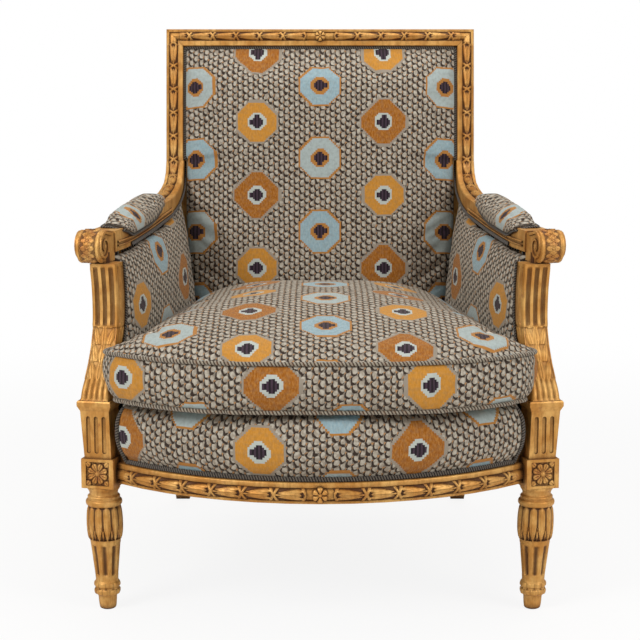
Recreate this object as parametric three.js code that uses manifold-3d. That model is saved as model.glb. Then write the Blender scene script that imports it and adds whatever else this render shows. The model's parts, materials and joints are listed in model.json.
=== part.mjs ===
// Upholstered armchair with a carved gilt frame, closed padded arms and a loose boxed seat cushion.
// Millimetres, +Z up, the chair faces -Y and stands on the ground plane.
import * as THREE from "three";
import { mergeVertices } from "three/addons/utils/BufferGeometryUtils.js";
import Module from "manifold-3d";

const wasm = await Module();
wasm.setup();

// Driving dimensions. Y is measured from the axis of the front legs until the whole chair is centred.
const fit = { gap: 0.3, overrun: 3, tenonSlack: 0.3 };

const leg = {
  footX: 331, topX: 335, turnOut: 13,
  blockSide: 52, blockBottom: 196, blockTop: 242,
  pilasterLow: 43, pilasterHigh: 46, pilasterTop: 316, pilasterLean: 4,
  capSide: 54, capTop: 332,
  footRadius: 13, collarRadius: 20.5, shaftLow: 17.5, shaftHigh: 23.5, bulbRadius: 28.6,
  ringRadius: 28, neckRadius: 22, fluteDepth: 2.4, leafDepth: 1.8,
};
const legCount = { sides: 24, fluteStep: 3, leafStep: 2 };
const sunk = {
  flute: 2.2, fluteWidth: 6.4, fluteEnd: 8, flutePitch: 12.5,
  panel: 37, panelDepth: 3, bossRadius: 14, bossRise: 2.4,
};

const post = { base: 47, waist: 41, top: 43, depth: 38, setBack: 57, inward: 14, fluteDepth: 2, dowel: 5 };

const back = {
  halfWidth: 287, height: 904, rake: 8.5, faceY: 564, seatZ: 240,
  moulding: 31.5, rebate: 5, rebateDepth: 9, thickness: 42, jointZ: 662,
  postWidth: 34, legFootY: 692, legFoot: 26, postThin: 17.7, dowel: 4,
};
const band = { rise: 4 };
const lowerRail = { behind: 30.5, up: 136, thick: 14, high: 36, tenon: 10 };

const arm = {
  scrollX: 350.5, scrollY: 42, scrollZ: 562, scrollRadius: 25.5, scrollWidth: 43, lip: 1.4, lipWidth: 5,
  startWidth: 33, width: 43, startDepth: 24, depth: 33, blockBack: 48, seatZ: 536, relief: 2.6,
};
const volute = { turns: 1.6, ribbon: 4.2, eye: 5.4, steps: 28, tail: 30 };
const rail = {
  bottom: 202, faceTop: 234, top: 262, ledge: 10, depth: 34, bow: 129, endX: 311, endY: -15,
  sideDepth: 30, backDepth: 28, tenonLong: 16, tenonThick: 10,
};
const glueBlock = { reach: 58, low: 210, high: 250 };
const stuffingRail = { low: 345, high: 372, wide: 15, front: 324 };
const deck = { top: 332, bulge: 11, cloth: 1.6, fillingInset: 22 };
const cushion = {
  top: 411, frontY: -145, cornerX: 337, cornerY: -43, earBackY: -27,
  besideX: 299, besideY: 12, backX: 220, backY: 542, crown: 64, corner: 26, bulge: 7, cloth: 2, welt: 3.4,
};
const zip = { half: 170, high: 5 };
const pad = { back: 46, bulge: 9, armRest: 29, clear: 1.2 };
const braid = { width: 6, thick: 3 };
const cushionLow = deck.top + fit.gap + cushion.welt;
const spring = { wire: 2, radius: 31, waist: 22, turns: 3, steps: 8, sides: 4, top: 298 };
const web = { thick: 2, strap: 50, across: 4, along: 4 };

// Colours of the plain working view.
const gilt = { color: 0xc8964b, roughness: 0.45, metalness: 0.35 };
const beech = { color: 0xc9a878, roughness: 0.75, metalness: 0 };
const cloth = { color: 0x9a9182, roughness: 0.95, metalness: 0 };
const piping = { color: 0x8a7f70, roughness: 0.95, metalness: 0 };
const jute = { color: 0xa98d62, roughness: 0.95, metalness: 0 };
const trim = { color: 0x4d453e, roughness: 0.9, metalness: 0 };
const steel = { color: 0x8c8f93, roughness: 0.4, metalness: 0.9 };
const feather = { color: 0xe9e4d8, roughness: 0.95, metalness: 0 };
const blackCloth = { color: 0x2a2826, roughness: 0.95, metalness: 0 };

const chair = new THREE.Group();
const radians = THREE.MathUtils.degToRad;
const mix = THREE.MathUtils.lerp;
const vec = (x, y, z) => new THREE.Vector3(x, y, z);
const flat = (x, y) => new THREE.Vector2(x, y);

function addPiece(name, geometry, finish) {
  const mesh = new THREE.Mesh(geometry, new THREE.MeshStandardMaterial(finish));
  mesh.name = name;
  chair.add(mesh);
  return mesh;
}

// Geometry helpers: welding, booleans, mirroring.
function weld(geometry) {
  const bare = geometry.clone();
  bare.deleteAttribute("normal");
  bare.deleteAttribute("uv");
  return mergeVertices(bare, 1e-4);
}

function signedVolume(geometry) {
  const place = geometry.getAttribute("position");
  const index = geometry.getIndex();
  let sum = 0;
  for (let i = 0; i < index.count; i += 3) {
    const [a, b, c] = [0, 1, 2].map((k) => vec().fromBufferAttribute(place, index.getX(i + k)));
    sum += a.dot(b.cross(c));
  }
  return sum;
}

function turnedOut(geometry) {
  if (signedVolume(geometry) > 0) return geometry;
  const index = geometry.getIndex();
  for (let i = 0; i < index.count; i += 3) {
    const first = index.getX(i);
    index.setX(i, index.getX(i + 1));
    index.setX(i + 1, first);
  }
  return geometry;
}

function solidOf(geometry) {
  const welded = turnedOut(weld(geometry));
  const vertProperties = new Float32Array(welded.getAttribute("position").array);
  const triVerts = new Uint32Array(welded.getIndex().array);
  return new wasm.Manifold(new wasm.Mesh({ numProp: 3, vertProperties, triVerts }));
}

function geometryOf(solid) {
  const mesh = solid.getMesh();
  const geometry = new THREE.BufferGeometry();
  const places = new Float32Array(mesh.vertProperties);
  geometry.setAttribute("position", new THREE.BufferAttribute(places, mesh.numProp));
  geometry.setIndex(new THREE.BufferAttribute(new Uint32Array(mesh.triVerts), 1));
  return geometry;
}

const joined = (...shapes) => shapes.map(solidOf).reduce((whole, next) => whole.add(next));
const cutBy = (solid, ...cutters) => cutters.map(solidOf).reduce((whole, next) => whole.subtract(next), solid);

function mirrored(geometry) {
  const other = geometry.clone();
  other.scale(-1, 1, 1);
  return turnedOut(other.getIndex() ? other : weld(other));
}

function addPair(name, geometry, finish) {
  addPiece(name + "_right", geometry, finish);
  addPiece(name + "_left", mirrored(geometry), finish);
}

// A skin through rings of points that all have the same count, closed by caps at both ends.
function loft(rings, outline) {
  const sides = rings[0].length;
  const points = rings.flat();
  const triangles = [];
  for (let ring = 0; ring + 1 < rings.length; ring += 1) {
    for (let side = 0; side < sides; side += 1) {
      const a = ring * sides + side;
      const b = ring * sides + ((side + 1) % sides);
      triangles.push(a, b, b + sides, a, b + sides, a + sides);
    }
  }
  const flatRing = outline ?? rings[0].map((point) => flat(point.x, point.y));
  const anticlockwise = THREE.ShapeUtils.area(flatRing) > 0;
  const lastRing = (rings.length - 1) * sides;
  for (const [a, b, c] of THREE.ShapeUtils.triangulateShape(flatRing, [])) {
    const [first, second] = anticlockwise ? [b, a] : [a, b];
    triangles.push(first, second, c, lastRing + second, lastRing + first, lastRing + c);
  }
  return turnedOut(meshFrom(points, triangles));
}

function meshFrom(points, triangles) {
  const geometry = new THREE.BufferGeometry();
  geometry.setFromPoints(points);
  geometry.setIndex(triangles);
  return geometry;
}

// A ring that closes on itself instead of ending in caps.
function closedLoft(rings) {
  const sides = rings[0].length;
  const triangles = [];
  rings.forEach((ring, at) => {
    const next = ((at + 1) % rings.length) * sides;
    ring.forEach((point, side) => {
      const a = at * sides + side;
      const b = at * sides + ((side + 1) % sides);
      const c = next + ((side + 1) % sides);
      const d = next + side;
      triangles.push(a, b, c, a, c, d);
    });
  });
  return turnedOut(meshFrom(rings.flat(), triangles));
}

// Two skins over the same grid, joined round their edge.
function twoSkins(across, along, front, rear) {
  const points = [];
  const triangles = [];
  const row = across + 1;
  const sheet = row * (along + 1);
  for (const skin of [front, rear]) {
    for (let j = 0; j <= along; j += 1) {
      for (let i = 0; i <= across; i += 1) points.push(skin(i / across, j / along));
    }
  }
  for (let j = 0; j < along; j += 1) {
    for (let i = 0; i < across; i += 1) {
      const a = j * row + i;
      triangles.push(a, a + 1, a + row + 1, a, a + row + 1, a + row);
      const b = sheet + a;
      triangles.push(b + 1, b, b + row + 1, b + row + 1, b, b + row);
    }
  }
  const edge = [];
  for (let i = 0; i < across; i += 1) edge.push(i);
  for (let j = 0; j < along; j += 1) edge.push(j * row + across);
  for (let i = across; i > 0; i -= 1) edge.push(along * row + i);
  for (let j = along; j > 0; j -= 1) edge.push(j * row);
  edge.forEach((a, k) => {
    const b = edge[(k + 1) % edge.length];
    triangles.push(b, a, sheet + a, b, sheet + a, sheet + b);
  });
  return turnedOut(meshFrom(points, triangles));
}

function boxAt(width, depth, low, high, place) {
  const box = new THREE.BoxGeometry(width, depth, high - low);
  box.translate(0, 0, (low + high) / 2);
  return place ? box.applyMatrix4(place) : box;
}

// Front legs: turned, fluted and leafed below, squared block, pilaster and cap above.
const legAngle = radians(leg.turnOut);
const legPlace = new THREE.Matrix4().makeRotationZ(legAngle).setPosition(leg.topX, 0, 0);
const legPoint = (out, behind, z) => vec(out, behind, z).applyMatrix4(legPlace);

// Each row: a radius, the share of it, and the share of the turned height.
const turningShares = [
  [leg.footRadius, 0.85, 0], [leg.footRadius, 1, 0.016], [leg.footRadius, 1.12, 0.1],
  [leg.collarRadius, 0.94, 0.122], [leg.collarRadius, 1, 0.152], [leg.collarRadius, 0.89, 0.17],
  [leg.collarRadius, 1, 0.188], [leg.collarRadius, 1, 0.214],
  [leg.shaftLow, 1, 0.235], [leg.shaftLow, 1.01, 0.262], [leg.shaftLow, 1.03, 0.283],
  [leg.shaftHigh, 0.98, 0.53], [leg.shaftHigh, 1, 0.555],
  [leg.bulbRadius, 0.9, 0.58], [leg.bulbRadius, 0.98, 0.65], [leg.bulbRadius, 1, 0.735],
  [leg.bulbRadius, 0.95, 0.815], [leg.bulbRadius, 0.91, 0.838],
  [leg.ringRadius, 0.97, 0.852], [leg.ringRadius, 1, 0.872], [leg.ringRadius, 0.95, 0.893],
  [leg.neckRadius, 1.08, 0.915], [leg.neckRadius, 1, 0.94], [leg.neckRadius, 1.16, 0.985],
];
const fluteSpanShares = [0.27, 0.54];
const leafSpanShares = [0.6, 0.82];

function turnedLeg() {
  const profile = turningShares.map(([radius, share, up]) => flat(radius * share, leg.blockBottom * up));
  const last = profile[profile.length - 1];
  const top = leg.blockBottom + fit.overrun;
  profile.unshift(flat(0, 0));
  profile.push(flat(last.x, top), flat(0, top));
  const lathe = new THREE.LatheGeometry(profile, legCount.sides);
  const place = lathe.getAttribute("position");
  for (let turn = 0; turn <= legCount.sides; turn += 1) {
    profile.forEach((point, row) => {
      const up = point.y / leg.blockBottom;
      const fluted = up > fluteSpanShares[0] && up < fluteSpanShares[1] && turn % legCount.fluteStep === 0;
      const leafed = up > leafSpanShares[0] && up < leafSpanShares[1] && turn % legCount.leafStep === 0;
      const cut = fluted ? leg.fluteDepth : leafed ? leg.leafDepth : 0;
      const at = turn * profile.length + row;
      const shrink = point.x > cut ? 1 - cut / point.x : 1;
      place.setX(at, place.getX(at) * shrink);
      place.setZ(at, place.getZ(at) * shrink);
    });
  }
  lathe.rotateX(Math.PI / 2);
  for (let at = 0; at < place.count; at += 1) {
    const lean = (leg.footX - leg.topX) * (1 - place.getZ(at) / leg.blockBottom);
    place.setX(at, place.getX(at) + leg.topX + lean);
  }
  return lathe;
}

const squareRing = (side, out, z) =>
  [[-1, -1], [1, -1], [1, 1], [-1, 1]].map(([a, b]) => legPoint(out + (a * side) / 2, (b * side) / 2, z));

// Each row: the share of the cap's rise, and the share of the way from the pilaster's side to the cap's.
const capShares = [[0, 0], [0.22, 0.45], [0.5, 1], [0.86, 1], [1, 0.7]];

function pilaster() {
  const rings = [squareRing(leg.pilasterLow, 0, leg.blockTop - fit.overrun)];
  for (const [rise, spread] of capShares) {
    const z = mix(leg.pilasterTop, leg.capTop, rise);
    rings.push(squareRing(mix(leg.pilasterHigh, leg.capSide, spread), leg.pilasterLean, z));
  }
  return loft(rings);
}

// A long slot with round ends, standing in the leg's front face, or in its outer side when turned.
function fluteCutter(across, turned) {
  const radius = sunk.fluteWidth / 2;
  const low = leg.blockTop + sunk.fluteEnd + radius;
  const high = leg.pilasterTop - sunk.fluteEnd - radius;
  const shape = new THREE.Shape();
  shape.moveTo(radius, low);
  shape.lineTo(radius, high);
  shape.absarc(0, high, radius, 0, Math.PI, false);
  shape.lineTo(-radius, low);
  shape.absarc(0, low, radius, Math.PI, 2 * Math.PI, false);
  const reach = sunk.flute + fit.overrun;
  const cutter = new THREE.ExtrudeGeometry(shape, { depth: reach, bevelEnabled: false, curveSegments: 4 });
  cutter.rotateX(Math.PI / 2);
  const face = (leg.pilasterLow + leg.pilasterHigh) / 4;
  cutter.translate(across, sunk.flute - face, 0);
  if (turned) cutter.rotateZ(Math.PI / 2);
  cutter.translate(leg.pilasterLean / 2, 0, 0);
  return cutter.applyMatrix4(legPlace);
}

function panelCutter(turned) {
  const middle = (leg.blockBottom + leg.blockTop) / 2;
  const cutter = new THREE.BoxGeometry(sunk.panel, 2 * sunk.panelDepth, sunk.panel);
  cutter.translate(0, -leg.blockSide / 2, middle);
  if (turned) cutter.rotateZ(Math.PI / 2);
  return cutter.applyMatrix4(legPlace);
}

const petalShares = [[1, 0.35], [0.72, 0.8], [0.4, 0.55], [0.2, 1]];
const petalNarrowShare = 0.78;

function rosette(turned) {
  const petals = 8;
  const profile = [flat(0, -fit.overrun), flat(sunk.bossRadius, -fit.overrun)];
  for (const [out, rise] of petalShares) profile.push(flat(sunk.bossRadius * out, sunk.bossRise * rise));
  profile.push(flat(0, sunk.bossRise));
  const flower = new THREE.LatheGeometry(profile, 2 * petals);
  const place = flower.getAttribute("position");
  for (let at = 0; at < place.count; at += 1) {
    const narrow = Math.floor(at / profile.length) % 2 ? petalNarrowShare : 1;
    place.setX(at, place.getX(at) * narrow);
    place.setZ(at, place.getZ(at) * narrow);
  }
  flower.rotateZ(Math.PI);
  flower.translate(0, sunk.panelDepth - leg.blockSide / 2, (leg.blockBottom + leg.blockTop) / 2);
  if (turned) flower.rotateZ(Math.PI / 2);
  return flower.applyMatrix4(legPlace);
}

// Tenons of the rails, in the frame of the leg they enter. Growing them gives the mortises.
const tenonHigh = [rail.bottom + rail.tenonThick, rail.top - rail.tenonThick];

function frontTenon(grow) {
  const face = -leg.blockSide / 2;
  const box = boxAt(rail.tenonLong + fit.overrun + 2 * grow, rail.tenonThick + 2 * grow,
    tenonHigh[0] - grow, tenonHigh[1] + grow);
  box.translate(face + (rail.tenonLong - fit.overrun) / 2, rail.tenonThick, 0);
  return box.applyMatrix4(legPlace);
}

function sideTenonFront(grow) {
  const face = leg.blockSide / 2;
  const box = boxAt(rail.tenonThick + 2 * grow, rail.tenonLong + fit.overrun + 2 * grow,
    tenonHigh[0] - grow, tenonHigh[1] + grow);
  box.translate(0, face - (rail.tenonLong - fit.overrun) / 2, 0);
  return box.applyMatrix4(legPlace);
}

function frontLeg() {
  const block = boxAt(leg.blockSide, leg.blockSide, leg.blockBottom, leg.blockTop, legPlace);
  let solid = joined(turnedLeg(), block, pilaster());
  for (const turned of [false, true]) {
    solid = cutBy(solid, panelCutter(turned));
    solid = solid.add(solidOf(rosette(turned)));
    for (const step of [-1, 0, 1]) solid = cutBy(solid, fluteCutter(step * sunk.flutePitch, turned));
  }
  return geometryOf(cutBy(solid, frontTenon(fit.tenonSlack), sideTenonFront(fit.tenonSlack)));
}

// Rails: one moulded face, with a ledge above it that the cloth is nailed to.
// Each row: the share of the band's rise, negative standing proud, and the share of the face's height.
const railFaceShares = [
  [0.4, 0], [0, 0.04], [0, 0.15], [0.5, 0.19], [-0.55, 0.27], [-1, 0.45], [-0.55, 0.64], [0.5, 0.72],
  [0, 0.76], [0, 0.96], [0.4, 1],
];

function railSection(depth) {
  const high = rail.faceTop - rail.bottom;
  const face = railFaceShares.map(([into, up]) => [into * band.rise, rail.bottom + up * high]);
  return [...face, [rail.ledge, rail.faceTop], [rail.ledge, rail.top], [depth, rail.top], [depth, rail.bottom]];
}

const bowRadius = (rail.endX ** 2 + rail.bow ** 2) / (2 * rail.bow);
const bowCentreY = rail.endY - rail.bow + bowRadius;
const bowPoint = (turn, into, z) =>
  vec((bowRadius - into) * Math.sin(turn), bowCentreY - (bowRadius - into) * Math.cos(turn), z);
const bowEnd = Math.asin(rail.endX / bowRadius);

// The rail and everything beside it bends at the same stations.
const bowStations = 8;
const bowReachShare = 1.12;
const bowStep = (bowEnd * bowReachShare) / bowStations;

// Everything outward of the front block's inner face, or forward of its back face.
function beyondLeg(sideways) {
  const reach = 4 * leg.blockSide;
  const box = boxAt(reach, reach, rail.bottom - reach, rail.top + reach);
  const shift = reach / 2 - leg.blockSide / 2 - fit.gap;
  box.translate(sideways ? shift : 0, sideways ? 0 : -shift, 0);
  return box.applyMatrix4(legPlace);
}

function frontRail() {
  const section = railSection(rail.depth);
  const rings = [];
  for (let step = -bowStations; step <= bowStations; step += 1) {
    rings.push(section.map(([into, z]) => bowPoint(step * bowStep, into, z)));
  }
  const outline = section.map(([into, z]) => flat(into, z));
  const ends = [beyondLeg(true), frontTenon(0)];
  let solid = solidOf(loft(rings, outline));
  solid = cutBy(solid, ends[0], mirrored(ends[0]));
  solid = solid.add(solidOf(ends[1])).add(solidOf(mirrored(ends[1])));
  return geometryOf(solid);
}

// The back posts stand upright to a little above the seat rails, and lean from there.
const postUpright = rail.top + fit.overrun;

// The back frame leans: X across, D behind its face, H up along the lean from the seat's height.
const rake = radians(back.rake);
const backPoint = (x, behind, up) => vec(
  x,
  back.faceY + up * Math.sin(rake) + behind * Math.cos(rake),
  back.seatZ + up * Math.cos(rake) - behind * Math.sin(rake),
);
const backTop = (back.height - back.seatZ) / Math.cos(rake);
const backJoint = (back.jointZ - back.seatZ) / Math.cos(rake);
const frameFace = back.moulding + back.rebate;
const postInner = back.halfWidth - frameFace;
const postMiddle = postInner + back.postWidth / 2;

// Each row: the share of the moulding's width, and the share of the band's rise, negative standing proud.
const bandShares = [
  [0, 0.5], [0.03, 0], [0.17, 0], [0.21, 0.5], [0.29, -0.5], [0.43, -1], [0.57, -0.5], [0.65, 0.5],
  [0.69, 0], [0.96, 0], [1, 0.5],
];

const bandOutline = (width, rise) => bandShares.map(([across, into]) => [width * across, into * rise]);

function frameOutline() {
  const face = bandOutline(back.moulding, band.rise);
  const rebate = [[back.moulding, back.rebateDepth], [frameFace, back.rebateDepth], [frameFace, back.thickness]];
  return [...face, ...rebate, [0, back.thickness]];
}

const mitreDowelShare = 0.62;

function mitreDowel(grow) {
  const long = back.moulding + 2 * grow;
  const dowel = new THREE.CylinderGeometry(back.dowel + grow, back.dowel + grow, long, 10);
  dowel.rotateZ(-Math.PI / 4);
  dowel.rotateX(Math.PI / 2 - rake);
  const inward = back.moulding / 2;
  const centre = backPoint(back.halfWidth - inward, back.thickness * mitreDowelShare, backTop - inward);
  return dowel.translate(centre.x, centre.y, centre.z);
}

function crossTenon(behind, up, thick, high, grow) {
  const long = back.postWidth / 2 + fit.overrun;
  const box = new THREE.BoxGeometry(long + 2 * grow, thick + 2 * grow, high + 2 * grow);
  box.rotateX(-rake);
  const centre = backPoint(postInner - fit.overrun + long / 2, behind, up);
  return box.translate(centre.x, centre.y, centre.z);
}

// Where the cross rails meet the back posts.
const seatRailY = back.faceY + back.thickness / 2;

function backRailTenon(grow) {
  const long = back.postWidth / 2 + fit.overrun;
  const box = boxAt(long + 2 * grow, rail.tenonThick + 2 * grow, tenonHigh[0] - grow, tenonHigh[1] + grow);
  return box.translate(postInner - fit.overrun + long / 2, seatRailY, 0);
}

function sideTenonRear(grow) {
  const box = boxAt(rail.tenonThick + 2 * grow, rail.tenonLong + fit.overrun + 2 * grow,
    tenonHigh[0] - grow, tenonHigh[1] + grow);
  return box.translate(postMiddle, back.faceY + (rail.tenonLong - fit.overrun) / 2, 0);
}

const postNotchTimes = 3;

// Side view of the back post and its splayed rear leg, from the foot up the front and down the back.
function postProfile() {
  const low = rail.bottom - leg.ringRadius;
  const high = postUpright;
  const at = (behind, up) => {
    const point = backPoint(0, behind, up);
    return [point.y, point.z];
  };
  const shape = new THREE.Shape();
  const footFront = back.legFootY - back.legFoot / 2;
  const footBack = back.legFootY + back.legFoot / 2;
  const rear = back.faceY + back.thickness;
  const notch = back.thickness - back.postThin;
  const notchEnd = (high - back.seatZ) * postNotchTimes;
  shape.moveTo(footFront, 0);
  shape.quadraticCurveTo(back.faceY + back.legFoot / 2, low / 2, back.faceY, low);
  shape.lineTo(back.faceY, high);
  shape.lineTo(...at(notch, notchEnd));
  shape.lineTo(...at(notch, backJoint + fit.overrun));
  shape.lineTo(...at(back.thickness - fit.gap, backJoint + fit.overrun));
  shape.lineTo(...at(back.thickness - fit.gap, notchEnd));
  shape.lineTo(rear, high);
  shape.lineTo(rear, low);
  shape.quadraticCurveTo(rear + back.legFoot / 2, low / 2, footBack, 0);
  return shape;
}

function lowerPost() {
  const options = { depth: back.postWidth, bevelEnabled: false, curveSegments: 6 };
  const body = new THREE.ExtrudeGeometry(postProfile(), options);
  body.applyMatrix4(new THREE.Matrix4().makeBasis(vec(0, 1, 0), vec(0, 0, 1), vec(1, 0, 0)));
  body.translate(postInner, 0, 0);
  const place = body.getAttribute("position");
  const footShare = back.legFoot / back.postWidth;
  for (let at = 0; at < place.count; at += 1) {
    const narrow = mix(footShare, 1, Math.min(1, place.getZ(at) / (rail.bottom - leg.ringRadius)));
    place.setX(at, postMiddle + (place.getX(at) - postMiddle) * narrow);
  }
  return body;
}

function backPost() {
  const outline = frameOutline();
  const ends = [() => backJoint, (across) => backTop - across];
  const rings = ends.map((up) => outline.map(([across, behind]) =>
    backPoint(back.halfWidth - across, behind, up(across))));
  const stile = loft(rings, outline.map(([across, behind]) => flat(across, behind)));
  const grow = fit.tenonSlack;
  const solid = cutBy(joined(stile, lowerPost()),
    mitreDowel(grow),
    sideTenonRear(grow),
    backRailTenon(grow),
    crossTenon(lowerRail.behind, lowerRail.up, lowerRail.tenon, lowerRail.high - lowerRail.tenon, grow));
  return geometryOf(solid);
}

function crestRail() {
  const outline = frameOutline();
  const away = fit.gap * Math.SQRT2;
  const rings = [1, -1].map((side) => outline.map(([across, behind]) =>
    backPoint(side * (back.halfWidth - across - away), behind, backTop - across)));
  const bar = loft(rings, outline.map(([across, behind]) => flat(across, behind)));
  const dowel = mitreDowel(0);
  return geometryOf(joined(bar, dowel, mirrored(dowel)));
}

function sideRail() {
  const section = railSection(rail.sideDepth);
  const half = rail.sideDepth / 2;
  const from = legPoint(0, 0, 0);
  const to = vec(postMiddle, back.faceY + back.thickness, 0);
  const along = to.clone().sub(from).normalize();
  const outward = vec(along.y, -along.x, 0);
  const rings = [from, to].map((end) => section.map(([into, z]) =>
    vec(end.x + outward.x * (half - into), end.y + outward.y * (half - into), z)));
  const reach = back.halfWidth;
  const behindPost = new THREE.BoxGeometry(reach, reach, reach);
  behindPost.translate(postMiddle, back.faceY - fit.gap + reach / 2, rail.bottom);
  const outline = section.map(([into, z]) => flat(into, z));
  let solid = cutBy(solidOf(loft(rings, outline)), beyondLeg(false), behindPost);
  solid = solid.add(solidOf(sideTenonFront(0))).add(solidOf(sideTenonRear(0)));
  return geometryOf(solid);
}

function backSeatRail() {
  const bar = boxAt(2 * (postInner - fit.gap), rail.backDepth, rail.bottom, rail.top);
  bar.translate(0, seatRailY, 0);
  const tenon = backRailTenon(0);
  return geometryOf(joined(bar, tenon, mirrored(tenon)));
}

function lowerBackRail() {
  const { behind, up, thick, high, tenon } = lowerRail;
  const bar = new THREE.BoxGeometry(2 * (postInner - fit.gap), thick, high);
  bar.rotateX(-rake);
  const centre = backPoint(0, behind, up);
  bar.translate(centre.x, centre.y, centre.z);
  const end = crossTenon(behind, up, tenon, high - tenon, 0);
  return geometryOf(joined(bar, end, mirrored(end)));
}

// The arm runs down out of the back post, sweeps forward and ends in a rolled scroll.
const scrollPlace = new THREE.Matrix4().makeRotationZ(legAngle);
scrollPlace.setPosition(arm.scrollX, arm.scrollY, arm.scrollZ);
const armStart = backPoint(back.halfWidth - arm.startWidth / 2, arm.startDepth / 2, backJoint - fit.gap);
const armEnd = vec(0, arm.blockBack - fit.overrun, (arm.depth - arm.scrollRadius) / 2).applyMatrix4(scrollPlace);
const armShares = {
  out: [0, 0.007, 0.02, 0.086, 0.207, 0.408, 0.622, 0.823, 1],
  forward: [0, 0.012, 0.048, 0.121, 0.251, 0.432, 0.667, 0.884, 1],
  down: [0, 0.225, 0.455, 0.654, 0.79, 0.874, 0.948, 0.99, 1],
};
const armLine = new THREE.CatmullRomCurve3(armShares.out.map((out, k) => vec(
  mix(armStart.x, armEnd.x, out),
  mix(armStart.y, armEnd.y, armShares.forward[k]),
  mix(armStart.z, armEnd.z, armShares.down[k]),
)));

// Place, width axis, face normal and size of the arm's section at a share of its length.
function armFrame(share) {
  const at = armLine.getPointAt(share);
  const forward = (armStart.y - at.y) / (armStart.y - armEnd.y);
  const turn = legAngle * forward;
  const across = vec(Math.cos(turn), Math.sin(turn), 0);
  const tangent = share > 0 ? armLine.getTangentAt(share) : vec(0, -Math.sin(rake), -Math.cos(rake));
  const normal = tangent.clone().cross(across).normalize();
  return { at, across, normal, width: mix(arm.startWidth, arm.width, Math.min(1, forward * 2)),
    depth: mix(arm.startDepth, arm.depth, Math.min(1, forward * 3)) };
}

// A point beside the arm: out from its middle, and up from its middle, in millimetres.
const armPoint = (frame, out, up) =>
  frame.at.clone().addScaledVector(frame.across, out).addScaledVector(frame.normal, up);

const padSpanShares = [0.36, 0.93];
const armSteps = 20;

const armBlockShares = { rear: 0.72, middle: 0.8 };

function armBlock() {
  const low = arm.seatZ - arm.scrollZ;
  const high = arm.scrollRadius - arm.lip;
  const shape = new THREE.Shape();
  shape.moveTo(0, low);
  shape.lineTo(arm.blockBack, low);
  shape.lineTo(arm.blockBack, high * armBlockShares.rear);
  shape.quadraticCurveTo(arm.blockBack / 2, high * armBlockShares.middle, 0, high);
  const wide = arm.scrollWidth - 2 * arm.relief;
  const block = new THREE.ExtrudeGeometry(shape, { depth: wide, bevelEnabled: false, curveSegments: 5 });
  block.applyMatrix4(new THREE.Matrix4().makeBasis(vec(0, 1, 0), vec(0, 0, 1), vec(1, 0, 0)));
  return block.translate(-wide / 2, 0, 0);
}

function scrollDrum() {
  const half = arm.scrollWidth / 2 - arm.relief;
  const lipRadius = arm.scrollRadius;
  const barrel = arm.scrollRadius - arm.lip;
  const side = [
    flat(barrel - arm.lip, half),
    flat(lipRadius, half - arm.lip),
    flat(lipRadius, half - arm.lipWidth),
  ];
  const profile = [flat(0, -half)];
  side.forEach((point) => profile.push(flat(point.x, -point.y)));
  profile.push(flat(barrel, arm.lipWidth + arm.lip - half), flat(barrel, half - arm.lipWidth - arm.lip));
  side.reverse().forEach((point) => profile.push(point));
  profile.push(flat(0, half));
  const drum = new THREE.LatheGeometry(profile, 22);
  return drum.rotateZ(-Math.PI / 2);
}

const voluteShares = { narrow: 0.6, tail: 0.78, eye: 0.7 };

// The volute: a ribbon that winds in to a round eye, standing proud of the scroll's side.
function voluteRibbon() {
  const edge = arm.scrollRadius - arm.lip;
  const outer = [];
  const inner = [];
  for (let step = 0; step <= volute.steps; step += 1) {
    const share = step / volute.steps;
    const turn = Math.PI / 2 + share * volute.turns * 2 * Math.PI;
    const radius = mix(edge, volute.eye, share);
    const ribbon = mix(volute.ribbon, volute.ribbon * voluteShares.narrow, share);
    outer.push(flat(radius * Math.cos(turn), radius * Math.sin(turn)));
    inner.push(flat((radius - ribbon) * Math.cos(turn), (radius - ribbon) * Math.sin(turn)));
  }
  const tailTop = edge * voluteShares.tail;
  const tail = [flat(volute.tail, tailTop - volute.ribbon), flat(volute.tail, tailTop)];
  const shape = new THREE.Shape([...tail, ...outer, ...inner.reverse()]);
  const reach = arm.relief + arm.lip;
  return new THREE.ExtrudeGeometry(shape, { depth: reach, bevelEnabled: false });
}

function voluteSide(side) {
  const half = arm.scrollWidth / 2;
  const reach = arm.relief + arm.lip;
  const eye = new THREE.CylinderGeometry(volute.eye * voluteShares.eye, volute.eye, reach, 14);
  eye.rotateX(Math.PI / 2);
  eye.translate(0, 0, reach / 2);
  const parts = [voluteRibbon(), eye].map((shape) => {
    shape.applyMatrix4(new THREE.Matrix4().makeBasis(vec(0, 1, 0), vec(0, 0, 1), vec(1, 0, 0)));
    shape.translate(half - reach, 0, 0);
    return side > 0 ? shape : mirrored(shape);
  });
  return joined(...parts);
}

const bandFadeShare = 0.12;

function armPiece() {
  const rings = [];
  const fadeEnd = padSpanShares[0];
  for (let step = 0; step <= armSteps; step += 1) {
    const share = step / armSteps;
    const frame = armFrame(share);
    const fade = 1 - THREE.MathUtils.smoothstep(share, fadeEnd - bandFadeShare, fadeEnd);
    const { width, depth } = frame;
    const outline = [...bandOutline(width, band.rise * fade), [width, depth], [0, depth]];
    rings.push(outline.map(([across, into]) => armPoint(frame, width / 2 - across, depth / 2 - into)));
  }
  const { startWidth, startDepth } = arm;
  const first = [...bandOutline(startWidth, band.rise), [startWidth, startDepth], [0, startDepth]];
  const sweep = loft(rings, first.map(([across, into]) => flat(across, into)));
  const scroll = [armBlock(), scrollDrum()].map((shape) => shape.applyMatrix4(scrollPlace));
  const sides = [1, -1].map((side) => solidOf(geometryOf(voluteSide(side)).applyMatrix4(scrollPlace)));
  return sides.reduce((whole, next) => whole.add(next), joined(sweep, ...scroll));
}

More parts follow.
